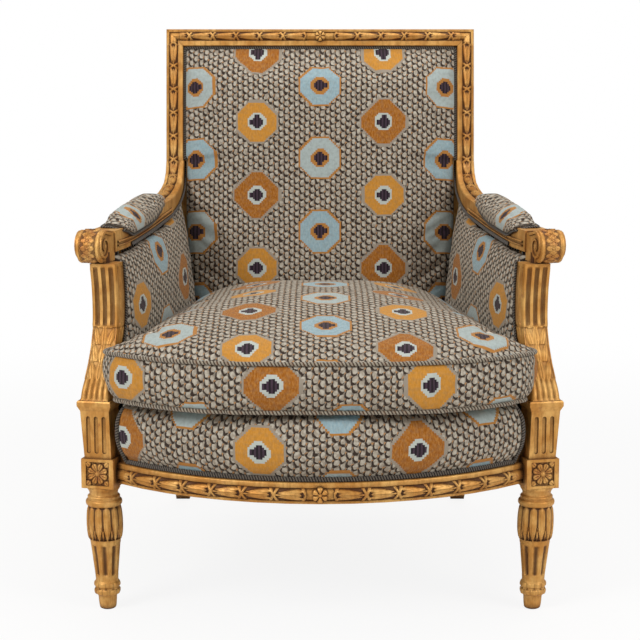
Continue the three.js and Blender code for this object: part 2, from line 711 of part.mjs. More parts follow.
// Fluted arm post: stands on the leg's cap, sweeps back and carries the scroll.
const postSweepShares = {
  up: [0, 0.06, 0.16, 0.27, 0.4, 0.58, 0.8, 1],
  back: [0, 0.05, 0.27, 0.51, 0.77, 0.98, 1, 0.9],
  narrow: [0, 0.25, 0.65, 0.95, 1, 1, 0.8, 0.4],
};
const postThinTimes = 4;
const postFoot = leg.capTop + fit.gap;
const postHead = arm.seatZ - fit.gap;

function postStation(k) {
  const up = postSweepShares.up[k];
  return {
    z: mix(postFoot, postHead, up),
    behind: post.setBack * postSweepShares.back[k],
    out: mix(leg.pilasterLean, post.inward / 2, up),
    width: mix(mix(post.base, post.top, up), post.waist, postSweepShares.narrow[k]),
    depth: mix(post.base, post.depth, Math.min(1, up * postThinTimes)),
  };
}

// The same values between stations, for what lies along the post.
function postAt(z) {
  const up = (z - postFoot) / (postHead - postFoot);
  const ups = postSweepShares.up;
  let k = 1;
  while (k < ups.length - 1 && ups[k] < up) k += 1;
  const [low, high] = [postStation(k - 1), postStation(k)];
  const share = THREE.MathUtils.clamp((up - ups[k - 1]) / (ups[k] - ups[k - 1]), 0, 1);
  const between = (name) => mix(low[name], high[name], share);
  return { behind: between("behind"), out: between("out"), width: between("width"), depth: between("depth") };
}

// Across the post's face: three hollows between four lands.
const postFluteShares = [-0.5, -0.4, -0.31, -0.2, -0.13, 0, 0.13, 0.2, 0.31, 0.4, 0.5];
const postHollowShares = [0, 0, 1, 0, 0, 1, 0, 0, 1, 0, 0];

function armPost() {
  const rings = postSweepShares.up.map((up, k) => {
    const { z, behind, out, width, depth } = postStation(k);
    const face = postFluteShares.map((share, at) =>
      legPoint(out + width * share, behind - depth / 2 + post.fluteDepth * postHollowShares[at], z));
    const rear = behind + depth / 2;
    return [...face, legPoint(out + width / 2, rear, z), legPoint(out - width / 2, rear, z)];
  });
  return loft(rings);
}

function postDowel(atTop, grow) {
  const station = postStation(atTop ? postSweepShares.up.length - 1 : 0);
  const z = atTop ? arm.seatZ : leg.capTop;
  const radius = post.dowel + grow;
  const dowel = new THREE.CylinderGeometry(radius, radius, rail.tenonLong * 2 + 2 * grow, 12);
  dowel.rotateX(Math.PI / 2);
  dowel.translate(station.out, station.behind, z);
  return dowel.applyMatrix4(legPlace);
}

function armDowel(grow) {
  const radius = back.dowel + grow;
  const dowel = new THREE.CylinderGeometry(radius, radius, rail.tenonLong * 2 + 2 * grow, 12);
  dowel.rotateX(Math.PI / 2 - rake);
  const centre = backPoint(back.halfWidth - arm.startWidth / 2, arm.startDepth / 2, backJoint);
  return dowel.translate(centre.x, centre.y, centre.z);
}

// Seat layout: the line of the side rails, and the inner faces of the padded arms.
const railShare = (y) => y / (back.faceY + back.thickness);
const railMiddle = (y) => mix(leg.topX, postMiddle, railShare(y));
const cushionSide = (y) => {
  const { besideX, besideY, backX, backY } = cushion;
  return mix(besideX, backX, (y - besideY) / (backY - besideY));
};
const armInner = (y) => cushionSide(y) + 3 * cushion.welt;

function prism(points, low, high) {
  const shape = new THREE.Shape(points.map(([x, y]) => flat(x, y)));
  const solid = new THREE.ExtrudeGeometry(shape, { depth: high - low, bevelEnabled: false });
  return weld(solid.translate(0, 0, low));
}

// How far the corner blocks keep inside the middle of the side rail.
const blockSideShares = { rear: 0.51, front: 0.52 };

function rearCornerBlock() {
  const railFront = seatRailY - rail.backDepth / 2 - fit.gap;
  const inner = (y) => railMiddle(y) - rail.sideDepth * blockSideShares.rear - fit.gap;
  const x = postInner - fit.gap;
  const step = back.faceY - 2 * fit.gap;
  const near = railFront - glueBlock.reach;
  const front = [[x, railFront], [x - glueBlock.reach, railFront]];
  const side = [[inner(near), near], [inner(step), step], [x, step]];
  return prism([...front, ...side], glueBlock.low, glueBlock.high);
}

function frontCornerBlock() {
  const inner = (y) => railMiddle(y) - rail.sideDepth * blockSideShares.front - fit.gap;
  const [first, second] = [2, 1].map((fewer) =>
    bowPoint((bowStations - fewer) * bowStep, rail.depth + 3 * fit.gap, 0));
  const near = bowPoint(bowStations * bowStep, rail.depth, 0).y;
  const corner = legPoint(-leg.blockSide / 2, leg.blockSide / 2, 0).x - fit.gap;
  const rear = near + glueBlock.reach;
  const front = [[first.x, first.y], [second.x, second.y], [corner, near]];
  const side = [[inner(near), near], [inner(rear), rear]];
  return prism([...front, ...side], glueBlock.low, glueBlock.high);
}

// An outline over the seat, inside the arms: its front edge some way into the rail, with a gap at its sides.
const besideSeatShares = [0.2, 0.5, 0.9];

function platformOutline(into, sideGap) {
  const right = [];
  for (let step = 0; step < bowStations; step += 1) {
    const point = bowPoint(step * bowStep, into, 0);
    right.push([point.x, point.y]);
  }
  for (const behind of [0, leg.capSide / 2]) {
    const point = legPoint(-leg.blockSide / 2 - sideGap, behind, 0);
    right.push([point.x, point.y]);
  }
  for (const share of besideSeatShares) {
    const y = back.faceY * share;
    right.push([armInner(y) - sideGap, y]);
  }
  const rear = back.faceY - sideGap;
  right.push([armInner(rear) - 2 * sideGap, rear - fit.overrun], [armInner(rear) / 2, rear - fit.overrun / 4]);
  return wholeOutline(right, rear);
}

// The whole outline from its right half; the middle points are shared.
function wholeOutline(right, rearY) {
  const left = right.slice(1).reverse().map(([x, y]) => [-x, y]);
  return [...right, [0, rearY], ...left];
}

function scaledRing(outline, centreY, scale, z) {
  return outline.map(([x, y]) => vec(x * scale, centreY + (y - centreY) * scale, z));
}

const seatCentreY = (back.faceY - rail.bow) / 2;

// The middle of a strap of the seat's mat, and the openings of a mat as blocks to cut away.
const seatField = { left: -postInner, right: postInner, near: -leg.blockSide, far: back.faceY - fit.overrun };
const strapMiddle = (from, to, count, k) => mix(from + web.strap / 2, to - web.strap / 2, k / count);

function weaveCutters(left, right, near, far, columns, rows) {
  const wide = (right - left - (columns + 1) * web.strap) / columns;
  const long = (far - near - (rows + 1) * web.strap) / rows;
  const cutters = [];
  for (let column = 0; column < columns; column += 1) {
    for (let row = 0; row < rows; row += 1) {
      const cutter = new THREE.BoxGeometry(wide, long, 4 * web.thick);
      cutters.push(cutter.translate(
        left + web.strap + wide / 2 + column * (wide + web.strap),
        near + web.strap + long / 2 + row * (long + web.strap),
        0,
      ));
    }
  }
  return cutters;
}

// The front edge of a sheet under or over the seat, a little way into the bowed rail.
function bowedEdge(into) {
  const edge = [];
  const last = bowStations - 2;
  for (let step = -last; step <= last; step += 1) {
    const point = bowPoint(step * bowStep, into, 0);
    edge.push([point.x, point.y]);
  }
  return edge;
}

// How far behind the leg's axis the sheets under the seat begin, and how far into the front rail they reach.
const underSeatShares = { webbing: 1.1, cover: 1.2, coverInto: 0.6 };

function seatWebbing() {
  const rear = back.faceY - fit.overrun;
  const beside = leg.blockSide * underSeatShares.webbing;
  const right = [[railMiddle(beside) - rail.sideDepth / 4, beside], [railMiddle(rear) - rail.sideDepth / 4, rear],
    [postInner - fit.overrun, rear], [postInner - fit.overrun, seatRailY]];
  const left = right.map(([x, y]) => [-x, y]).reverse();
  const sheet = prism([...bowedEdge(rail.depth / 2), ...right, ...left], -web.thick / 2, web.thick / 2);
  const { left: west, right: east, near, far } = seatField;
  const cutters = weaveCutters(west, east, near, far, web.across, web.along);
  const mat = geometryOf(cutBy(solidOf(sheet), ...cutters));
  return mat.translate(0, 0, rail.bottom - fit.gap - web.thick / 2);
}

function dustCover() {
  const rear = back.faceY - fit.overrun;
  const beside = leg.blockSide * underSeatShares.cover;
  const right = [[railMiddle(beside) - rail.sideDepth / 3, beside], [railMiddle(rear) - rail.sideDepth / 3, rear]];
  const left = right.map(([x, y]) => [-x, y]).reverse();
  const high = rail.bottom - 2 * fit.gap - web.thick;
  return prism([...bowedEdge(rail.depth * underSeatShares.coverInto), ...right, ...left], high - deck.cloth, high);
}

// One coil spring: a hollow-waisted helix of round wire, standing on the webbing.
function seatSpring(x, y) {
  const rings = [];
  const low = rail.bottom + spring.wire;
  const high = spring.top - spring.wire;
  const count = spring.turns * spring.steps;
  const centre = (share) => {
    const turn = share * spring.turns * 2 * Math.PI;
    const radius = mix(spring.waist, spring.radius, (2 * share - 1) ** 2);
    return vec(x + radius * Math.cos(turn), y + radius * Math.sin(turn), mix(low, high, share));
  };
  for (let step = 0; step <= count; step += 1) {
    const share = step / count;
    const at = centre(share);
    const turn = share * spring.turns * 2 * Math.PI;
    const ring = [];
    for (let side = 0; side < spring.sides; side += 1) {
      const around = (side / spring.sides) * 2 * Math.PI;
      const reach = spring.wire * Math.cos(around);
      const up = spring.wire * Math.sin(around);
      ring.push(vec(at.x + reach * Math.cos(turn), at.y + reach * Math.sin(turn), at.z + up));
    }
    rings.push(ring);
  }
  const section = [];
  for (let side = 0; side < spring.sides; side += 1) {
    const around = (side / spring.sides) * 2 * Math.PI;
    section.push(flat(Math.cos(around), Math.sin(around)));
  }
  return loft(rings, section);
}

// A cloth tray upside down: its rows go from its lower edge up to its top, the inner skin first.
function tray(outerRows, innerRows, centreY) {
  const close = (ring) => ring.map((point) => vec(point.x / 2, centreY + (point.y - centreY) / 2, point.z));
  const inside = [...innerRows].reverse();
  return loft([close(inside[0]), ...inside, ...outerRows, close(outerRows[outerRows.length - 1])]);
}

// Rows of the sheet over the springs: its size, and how far up from the rails to the springs' tops.
const hessianShares = [[1, 0], [0.82, 0], [0.76, 1]];

function hessianOutline() {
  const right = [];
  for (let step = 0; step < bowStations; step += 1) {
    const point = bowPoint(step * bowStep, rail.depth / 2, 0);
    right.push([point.x, point.y]);
  }
  const corner = legPoint(-leg.blockSide / 2 - fit.gap, leg.blockSide / 2 + fit.gap, 0);
  const onRail = (y) => [railMiddle(y) - rail.sideDepth / 5, y];
  right.push([corner.x, corner.y], onRail(corner.y + leg.blockSide / 2), onRail(back.faceY - 2 * fit.gap));
  right.push([postInner - fit.gap, back.faceY - 2 * fit.gap], [postInner - fit.gap, seatRailY]);
  return wholeOutline(right, seatRailY + fit.gap);
}

function seatHessian() {
  const outline = hessianOutline();
  const low = rail.top + fit.gap;
  const high = spring.top + fit.gap;
  const rows = (lift) => hessianShares.map(([size, up]) =>
    scaledRing(outline, seatCentreY, size, mix(low, high, up) + lift));
  return tray(rows(deck.cloth), rows(0), seatCentreY);
}

// Each row: its size, and the share of the filling's height.
const stuffingShares = [[0.97, 0], [1, 0.35], [0.99, 0.75], [0.95, 1], [0.5, 1]];

function seatStuffing() {
  const outline = platformOutline(deck.fillingInset, fit.overrun + deck.cloth + fit.gap);
  const low = spring.top + 2 * fit.gap + deck.cloth;
  const high = deck.top - deck.cloth - fit.gap;
  return loft(stuffingShares.map(([size, up]) => scaledRing(outline, seatCentreY, size, mix(low, high, up))));
}

// Rows of the deck cloth: the share of its height, and how far forward it stands.
const deckShares = {
  up: [0, 0.07, 0.16, 0.32, 0.5, 0.68, 0.84, 0.95, 1],
  out: [0, 0, 0.42, 0.84, 1, 0.92, 0.6, 0, -0.8],
};
const deckLow = rail.faceTop + 2 * fit.gap;
const deckLedge = rail.ledge - fit.gap - deck.cloth;
const deckForward = deck.bulge + deckLedge;

// Only the front of the deck cloth reaches down over the rail; the rest ends above the side and back rails.
function deckCover() {
  const sideLow = rail.top + 3 * fit.gap + deck.cloth;
  const rows = (thick) => deckShares.up.map((up, k) => {
    const into = deckLedge - deckForward * deckShares.out[k] + thick;
    const outline = platformOutline(into, 4 * fit.gap + thick);
    const under = k === deckShares.up.length - 1 ? thick : 0;
    return outline.map(([x, y], at) => {
      const infront = Math.min(at, outline.length - at) < bowStations;
      return vec(x, y, mix(infront ? deckLow : sideLow, deck.top, up) - under);
    });
  });
  return tray(rows(0), rows(deck.cloth), seatCentreY);
}

// A flat braid through stations that each give a middle, half a width and half a thickness as vectors.
function ribbon(stations) {
  const rings = stations.map(({ at, wide, thick }) => [
    at.clone().add(wide).add(thick), at.clone().sub(wide).add(thick),
    at.clone().sub(wide).sub(thick), at.clone().add(wide).sub(thick),
  ]);
  return loft(rings, [flat(1, 1), flat(-1, 1), flat(-1, -1), flat(1, -1)]);
}

// How far into the rail's face the deck cloth lies at a height.
function deckInto(z) {
  const up = (z - deckLow) / (deck.top - deckLow);
  const ups = deckShares.up;
  const k = Math.max(1, ups.findIndex((share) => share >= up));
  const out = mix(deckShares.out[k - 1], deckShares.out[k], (up - ups[k - 1]) / (ups[k] - ups[k - 1]));
  return deckLedge - deckForward * out;
}

function deckGimp() {
  const half = braid.width / 2;
  const low = deckLow + half;
  const off = fit.gap + braid.thick / 2;
  const last = (bowStations - 1) * bowStep - braid.width / bowRadius;
  const outward = (turn) => vec(Math.sin(turn), -Math.cos(turn), 0).multiplyScalar(braid.thick / 2);
  const sideways = (turn) => vec(Math.cos(turn), Math.sin(turn), 0).multiplyScalar(half);
  const right = deckShares.up.slice(1, 7).map((up) => {
    const z = mix(deckLow, deck.top, up) + (up < deckShares.up[2] ? half : 0);
    return { at: bowPoint(last, deckInto(z) - off, z), wide: sideways(last).negate(), thick: outward(last) };
  });
  const left = right.map(({ at, wide, thick }) => ({
    at: vec(-at.x, at.y, at.z), wide: vec(-wide.x, wide.y, 0), thick: vec(-thick.x, thick.y, 0),
  })).reverse();
  const under = [];
  for (let step = 2 - bowStations; step <= bowStations - 2; step += 1) {
    const turn = step * bowStep;
    under.push({ at: bowPoint(turn, deckInto(low) - off, low), wide: vec(0, 0, half), thick: outward(turn) });
  }
  const corner = (side) => ({
    at: bowPoint(side * last, deckInto(low) - off, low),
    wide: sideways(side * last).multiplyScalar(-side).add(vec(0, 0, half)),
    thick: outward(side * last),
  });
  return ribbon([...left, corner(-1), ...under, corner(1), ...right]);
}

// Back upholstery. A first and last step of the grid make the flat lip that the braid covers.
const lipped = (share, count, lip) => {
  const step = 1 / count;
  if (share < step / 2) return 0;
  if (share > 1 - step / 2) return 1;
  return mix(lip, 1 - lip, (share - step) / (1 - 2 * step));
};

// How the sides of back pad and arm pads draw outwards with height.
const padLeanShare = 1.3;
const outerLeanShare = 0.3;

// None on the lip, and full across the middle.
const crownAt = (share, count, power) =>
  1 - Math.min(1, Math.abs(2 * share - 1) / (1 - 2 / count)) ** power;

function backPad() {
  const counts = [12, 14];
  const edge = back.halfWidth - back.moulding - fit.gap;
  const lowEdge = armInner(back.faceY + back.thickness) - 2 * pad.clear;
  const foot = (deck.top + 3 * pad.clear - back.seatZ) / Math.cos(rake);
  const head = backTop - back.moulding - fit.gap;
  const lip = back.rebate + 2 * fit.gap;
  const edgeBehind = back.rebateDepth - fit.gap;
  const bend = backJoint + back.rebate;
  const bendEdge = edge - lip - fit.overrun;
  const leanAt = (up) => THREE.MathUtils.clamp((up - foot) / (bend - foot), 0, 1) ** padLeanShare;
  const halfAt = (up) => (up >= bend ? edge : mix(lowEdge, bendEdge, leanAt(up)));
  const skin = (u, v, front) => {
    const across = lipped(u, counts[0], lip / (2 * edge)) * 2 - 1;
    const up = mix(foot, head, lipped(v, counts[1], lip / (head - foot)));
    const swell = crownAt(u, counts[0], 5) * crownAt(v, counts[1], 7);
    const forward = front ? deck.cloth + pad.back * swell : 0;
    return backPoint(across * halfAt(up), edgeBehind - forward, up);
  };
  return twoSkins(...counts, (u, v) => skin(u, v, true), (u, v) => skin(u, v, false));
}

function backGimp() {
  const half = back.rebate / 2;
  const across = back.halfWidth - back.moulding - fit.gap - half;
  const up = backTop - back.moulding - fit.gap - half;
  const behind = back.rebateDepth - 2 * fit.gap - deck.cloth - braid.thick / 2;
  const start = backJoint + 2 * fit.gap;
  const origin = backPoint(0, 0, 0);
  const side = vec(half, 0, 0);
  const rise = backPoint(0, 0, half).sub(origin);
  const thick = backPoint(0, -braid.thick / 2, 0).sub(origin);
  const place = (x, h) => backPoint(x, behind, h);
  return ribbon([
    { at: place(-across, start), wide: side.clone().negate(), thick },
    { at: place(-across, up), wide: side.clone().negate().add(rise), thick },
    { at: place(across, up), wide: side.clone().add(rise), thick },
    { at: place(across, start), wide: side.clone(), thick },
  ]);
}

// The plane of the back frame, for flat pieces drawn across X and up Y.
const backPlane = new THREE.Matrix4().makeBasis(
  vec(1, 0, 0), vec(0, Math.sin(rake), Math.cos(rake)), vec(0, -Math.cos(rake), Math.sin(rake)),
).setPosition(0, back.faceY, back.seatZ);

function backWebbing() {
  const half = postInner - fit.gap;
  const low = lowerRail.up;
  const high = backTop - frameFace - fit.gap;
  const sheet = prism([[-half, low], [half, low], [half, high], [-half, high]], -web.thick / 2, web.thick / 2);
  const mat = geometryOf(cutBy(solidOf(sheet), ...weaveCutters(-half, half, low, high, web.across, web.along)));
  mat.translate(0, 0, -back.rebateDepth - fit.gap - web.thick / 2);
  return mat.applyMatrix4(backPlane);
}

function outsideBackPanel() {
  const half = postInner - fit.gap;
  const low = (rail.top + fit.overrun - back.seatZ) / Math.cos(rake);
  const high = backTop - frameFace - fit.gap;
  const behind = back.thickness - fit.overrun / 2;
  const place = (u, v, d) => backPoint((2 * u - 1) * half, behind - d, mix(low, high, v));
  return twoSkins(2, 2, (u, v) => place(u, v, 0), (u, v) => place(u, v, deck.cloth));
}

// Arm upholstery: inside pad, outside panel, the rail between them, the armrest pad and its braids.
const armBehind = (z) => Math.max(
  leg.capSide / 2 + 2 * fit.gap,
  z > postFoot ? postAt(Math.min(z, postHead)).behind + post.base / 2 : 0,
);

// The front and back edges of a sheet between arm post and back post, at a height.
const blockRear = vec(arm.scrollWidth / 2, arm.blockBack, 0).applyMatrix4(scrollPlace).y + fit.overrun / 2;
const sheetFront = (z) => (z > arm.seatZ - leg.blockSide / 2
  ? blockRear : legPoint(leg.capSide / 2, armBehind(z), 0).y + fit.gap);
const sheetRear = (z, behind) => backPoint(0, behind, Math.max(0, z - postUpright) / Math.cos(rake)).y;

// The arm's stations over such a sheet, from the scroll's block back to a depth in the back frame.
function armStations(behind) {
  const under = (station) => armPoint(armFrame(station / armSteps), 0, -armFrame(station / armSteps).depth / 2);
  let last = 0;
  while (sheetRear(under(last).z, behind) < under(last).y) last += 1;
  let first = armSteps;
  while (under(first).y < blockRear) first -= 1 / armSteps;
  const stations = [first];
  for (let station = Math.ceil(first) - 1; station >= last; station -= 1) stations.push(station);
  return stations;
}

// A point of such a sheet: its edges follow the posts, its top follows the arm's underside.
function sheetPoint(u, v, { low, behind, stations, out, foot, lean }) {
  const under = (station) => {
    const frame = armFrame(station / armSteps);
    return armPoint(frame, out(frame), -frame.depth / 2 - 3 * fit.gap);
  };
  const top = under(stations[Math.round(u * (stations.length - 1))]);
  const [topFront, topRear] = [under(stations[0]), under(stations[stations.length - 1])];
  const back = (top.y - topFront.y) / (topRear.y - topFront.y);
  const z = mix(low, top.z, v);
  const [front, rear] = [sheetFront(low), sheetRear(low, behind)];
  const straight = mix(mix(front, rear, back), top.y, v);
  const early = sheetFront(mix(low, topFront.z, v)) - mix(front, topFront.y, v);
  const late = sheetRear(mix(low, topRear.z, v), behind) - mix(rear, topRear.y, v);
  const y = straight + (1 - back) * early + back * Math.min(0, late);
  return vec(mix(foot(y), top.x, lean(v)), y, z);
}

const stuffingRailFront = () => sheetFront(stuffingRail.high) + fit.gap;
const stuffingRailRear = () => sheetRear(stuffingRail.low, back.thickness - back.postThin) - 2 * fit.gap;
const stuffingMiddle = (y) => mix(stuffingRail.front, postMiddle,
  (y - stuffingRailFront()) / (stuffingRailRear() - stuffingRailFront()));

function insideArmPad() {
  const flatTop = cushion.top + 2 * cushion.welt;
  const behind = back.rebateDepth - 2 * fit.gap;
  const stations = armStations(behind);
  const shared = { low: deck.top + pad.clear, behind, stations };
  const inner = (u, v) => {
    const point = sheetPoint(u, v, { ...shared, out: (frame) => braid.thick + fit.gap - frame.width / 2,
      foot: armInner, lean: (share) => share ** padLeanShare });
    const top = sheetPoint(u, 1, { ...shared, out: () => 0, foot: armInner, lean: (share) => share });
    const rise = THREE.MathUtils.clamp((point.z - flatTop) / (top.z - flatTop), 0, 1);
    point.x -= pad.bulge * Math.sin(Math.PI * rise) * Math.sin(Math.PI * u);
    return point;
  };
  const outer = (u, v) => sheetPoint(u, v, { ...shared, out: (frame) => -frame.width / 8,
    foot: (y) => stuffingMiddle(y) - stuffingRail.wide / 2 - 2 * fit.gap,
    lean: (share) => THREE.MathUtils.smoothstep(share, outerLeanShare, 1) });
  return twoSkins(stations.length - 1, 7, inner, outer);
}

function outsideArmPanel() {
  const behind = -2 * fit.overrun;
  const stations = armStations(behind);
  const shared = { low: rail.faceTop + 2 * fit.gap, behind, stations, lean: (share) => share };
  const skin = (thick) => (u, v) => sheetPoint(u, v, { ...shared,
    out: (frame) => frame.width / 2 - fit.overrun - thick,
    foot: (y) => railMiddle(y) + rail.sideDepth / 2 - rail.ledge + fit.overrun - thick });
  return twoSkins(stations.length - 1, 6, skin(0), skin(deck.cloth));
}

function armStuffingRail() {
  const { low, high, wide } = stuffingRail;
  const [front, rear] = [stuffingRailFront(), stuffingRailRear()];
  const points = [[stuffingMiddle(front) - wide / 2, front], [stuffingMiddle(front) + wide / 2, front],
    [stuffingMiddle(rear) + wide / 2, rear], [stuffingMiddle(rear) - wide / 2, rear]];
  return prism(points, low, high);
}

function padFrame(share) {
  return armFrame(mix(padSpanShares[0], padSpanShares[1], share));
}

const padRingShares = [0, 0.03, 0.1, 0.22, 0.38, 0.54, 0.7, 0.84, 0.94, 0.985, 1];

// How the pad thins towards its ends: the least share, and the powers of the curve.
const padSwell = { least: 0.1, power: 4, ease: 0.6 };
const padNarrow = { least: 0.5, power: 7, ease: 0.5 };
const padRound = { out: 0.7, up: 0.8 };
const endsIn = (share, curve) => Math.max(curve.least, 1 - Math.abs(2 * share - 1) ** curve.power) ** curve.ease;

function armRestPad() {
  const sides = 9;
  const rings = padRingShares.map((share) => {
    const frame = padFrame(share);
    const high = pad.armRest * endsIn(share, padSwell);
    const half = (frame.width / 2 - braid.thick - 3 * fit.gap) * endsIn(share, padNarrow);
    const base = frame.depth / 2 + 2 * fit.gap;
    const ring = [];
    for (let side = 0; side < sides; side += 1) {
      const around = (Math.PI * side) / (sides - 1);
      const out = Math.sign(Math.cos(around)) * Math.abs(Math.cos(around)) ** padRound.out * half;
      ring.push(armPoint(frame, out, base + high * Math.sin(around) ** padRound.up));
    }
    return ring;
  });
  const section = [];
  for (let side = 0; side < sides; side += 1) {
    const around = (Math.PI * side) / (sides - 1);
    section.push(flat(Math.cos(around), Math.sin(around)));
  }
  return loft(rings, section);
}

const padGimpShares = { reach: 0.53, alongRound: 0.7, acrossRound: 0.3 };

// A loop of braid round the pad's foot, as a rounded rectangle on top of the arm.
function armRestGimp() {
  const steps = 24;
  const rounded = (value, power) => Math.sign(value) * Math.abs(value) ** power;
  const centres = [];
  for (let step = 0; step < steps; step += 1) {
    const turn = (step / steps) * 2 * Math.PI;
    const frame = padFrame(1 / 2 + padGimpShares.reach * rounded(Math.cos(turn), padGimpShares.alongRound));
    const out = ((frame.width - braid.thick) / 2) * rounded(Math.sin(turn), padGimpShares.acrossRound);
    centres.push({ frame, at: armPoint(frame, out, frame.depth / 2 + 2 * fit.gap + braid.thick / 2) });
  }
  const rings = centres.map(({ frame, at }, k) => {
    const along = centres[(k + 1) % steps].at.clone().sub(centres[(k + steps - 1) % steps].at);
    const away = along.cross(frame.normal).setLength(braid.thick / 2);
    const rise = frame.normal.clone().multiplyScalar(braid.thick / 2);
    return [[1, -1], [1, 1], [-1, 1], [-1, -1]].map(([side, up]) =>
      at.clone().addScaledVector(away, side).addScaledVector(rise, up));
  });
  return closedLoft(rings);
}

const armGimpSpanShares = [0.015, 0.86];

function armGimp() {
  const stations = [];
  const steps = 14;
  for (let step = 0; step <= steps; step += 1) {
    const frame = armFrame(mix(armGimpSpanShares[0], armGimpSpanShares[1], step / steps));
    const out = -frame.width / 2 - 2 * fit.gap - braid.thick / 2;
    const up = braid.width / 2 - frame.depth / 2;
    stations.push({
      at: armPoint(frame, out, up),
      wide: frame.normal.clone().multiplyScalar(braid.width / 2),
      thick: frame.across.clone().multiplyScalar(-braid.thick / 2),
    });
  }
  return ribbon(stations);
}

function postGimp() {
  const stations = [];
  const steps = 6;
  const high = arm.seatZ - braid.width;
  const low = cushion.top - braid.width;
  for (let step = 0; step <= steps; step += 1) {
    const z = mix(high, low, step / steps);
    const station = postAt(z);
    const out = station.out - station.width / 2 - fit.gap - braid.thick / 2;
    const behind = station.behind + station.depth / 2 - braid.width / 2;
    const origin = legPoint(0, 0, 0);
    stations.push({
      at: legPoint(out, behind, z),
      wide: legPoint(0, braid.width / 2, 0).sub(origin),
      thick: legPoint(-braid.thick / 2, 0, 0).sub(origin),
    });
  }
  return ribbon(stations);
}

// The loose seat cushion. Right half outlines at its lower and upper seams.
const cushionBowPower = 3.4;
const cushionFront = (share, bow, x, y) => [x * share, y - bow * (1 - share ** cushionBowPower)];

const cushionFrontShares = [0, 0.25, 0.48, 0.67, 0.82, 0.93];
const cushionSideShares = [0.3, 0.6, 0.85];
const cushionEarShares = { out: 0.7, back: 0.6 };

function cushionHalf(lift) {
  const lowX = cushion.cornerX - 3 * cushion.bulge - cushion.cloth;
  const cornerX = mix(lowX, cushion.cornerX - cushion.bulge, lift);
  const cornerY = cushion.cornerY;
  const bow = cornerY - cushion.frontY;
  const earY = mix(cushion.earBackY - cushion.bulge, cushion.earBackY + cushion.bulge, lift);
  const besideX = cushion.besideX;
  const { besideY, backX, backY, corner } = cushion;
  return [
    ...cushionFrontShares.map((share) => cushionFront(share, bow, cornerX, cornerY)),
    [cornerX - cushion.welt / 2, cornerY - cushion.welt],
    [cornerX - cushion.welt, earY],
    [mix(cornerX, besideX, cushionEarShares.out), mix(earY, besideY, cushionEarShares.back)],
    [cushionSide(besideY + corner), besideY + corner],
    ...cushionSideShares.map((share) => mix(besideY, backY, share)).map((y) => [cushionSide(y), y]),
    [cushionSide(backY) - cushion.welt, backY - corner / 2],
    [cushionSide(backY) - corner, backY - fit.overrun],
    [backX / 2, backY - fit.overrun / 4],
  ];
}

const boxingShares = { up: [0, 0.25, 0.5, 0.75, 1], out: [0, 0.75, 1, 0.75, 0] };
const crownShares = [0.9, 0.76, 0.58, 0.38, 0.18];
const crownPower = 0.85;
const cushionUnderShare = 0.5;
const cushionCentreY = (cushion.backY + cushion.frontY) / 2;

function cushionForm(thick) {
  const rings = [];
  const reach = cushion.cornerX;
  const outline = (lift) => wholeOutline(cushionHalf(lift), cushion.backY);
  const inset = 1 - thick / reach;
  const low = cushionLow + thick;
  const high = cushion.top - thick;
  rings.push(scaledRing(outline(0), cushionCentreY, cushionUnderShare, low));
  boxingShares.up.forEach((up, k) => {
    const grow = inset + (boxingShares.out[k] * cushion.bulge) / reach;
    rings.push(scaledRing(outline(up), cushionCentreY, grow, mix(low, high, up)));
  });
  for (const share of crownShares) {
    const rise = cushion.crown * (1 - share ** 2) ** crownPower;
    rings.push(scaledRing(outline(1), cushionCentreY, share * inset, high + rise));
  }
  return loft(rings);
}

// The cover is a shell with a slot along its back edge, where the slide fastener is sewn.
function cushionCover() {
  const shell = solidOf(cushionForm(0)).subtract(solidOf(cushionForm(cushion.cloth)));
  const middle = (cushionLow + cushion.top) / 2;
  const slot = boxAt(2 * zip.half, 8 * cushion.cloth, middle - zip.high, middle + zip.high);
  slot.translate(0, cushion.backY + cushion.bulge / 2, 0);
  return geometryOf(shell.subtract(solidOf(slot)));
}

function cushionZip() {
  const middle = (cushionLow + cushion.top) / 2;
  const rear = (cushion.backY - cushionCentreY) * (1 + cushion.bulge / cushion.cornerX) + cushionCentreY;
  const half = zip.high - fit.gap;
  const tape = boxAt(2 * (zip.half - fit.gap), cushion.cloth, middle - half, middle + half);
  return weld(tape.translate(0, rear - cushion.cloth / 2, 0));
}

// How far the cord's middle lies outside the seam, as a share of its radius.
const weltOutShare = 1.3;

function cushionWelt(lift) {
  const outline = wholeOutline(cushionHalf(lift), cushion.backY);
  const z = mix(cushionLow, cushion.top, lift);
  const sides = 6;
  const rings = outline.map(([x, y], k) => {
    const before = outline[(k + outline.length - 1) % outline.length];
    const after = outline[(k + 1) % outline.length];
    const away = vec(after[1] - before[1], before[0] - after[0], 0).normalize();
    const ring = [];
    for (let side = 0; side < sides; side += 1) {
      const around = (side / sides) * 2 * Math.PI;
      const out = cushion.welt * (weltOutShare + Math.cos(around));
      ring.push(vec(x + away.x * out, y + away.y * out, z + cushion.welt * Math.sin(around)));
    }
    return ring;
  });
  return closedLoft(rings);
}

// The assembly.
addPair("front_leg", geometryOf(cutBy(solidOf(frontLeg()), postDowel(false, fit.tenonSlack))), gilt);
addPair("back_post", geometryOf(cutBy(solidOf(backPost()), armDowel(fit.tenonSlack))), gilt);
addPiece("crest_rail", crestRail(), gilt);
addPair("arm", geometryOf(cutBy(armPiece(), postDowel(true, fit.tenonSlack)).add(solidOf(armDowel(0)))), gilt);
addPair("arm_post", geometryOf(joined(armPost(), postDowel(true, 0), postDowel(false, 0))), gilt);
addPiece("front_rail", frontRail(), gilt);
addPair("side_rail", sideRail(), gilt);
addPiece("back_seat_rail", backSeatRail(), gilt);
addPiece("lower_back_rail", lowerBackRail(), beech);
addPair("arm_stuffing_rail", armStuffingRail(), beech);
addPair("front_corner_block", frontCornerBlock(), beech);
addPair("rear_corner_block", rearCornerBlock(), beech);

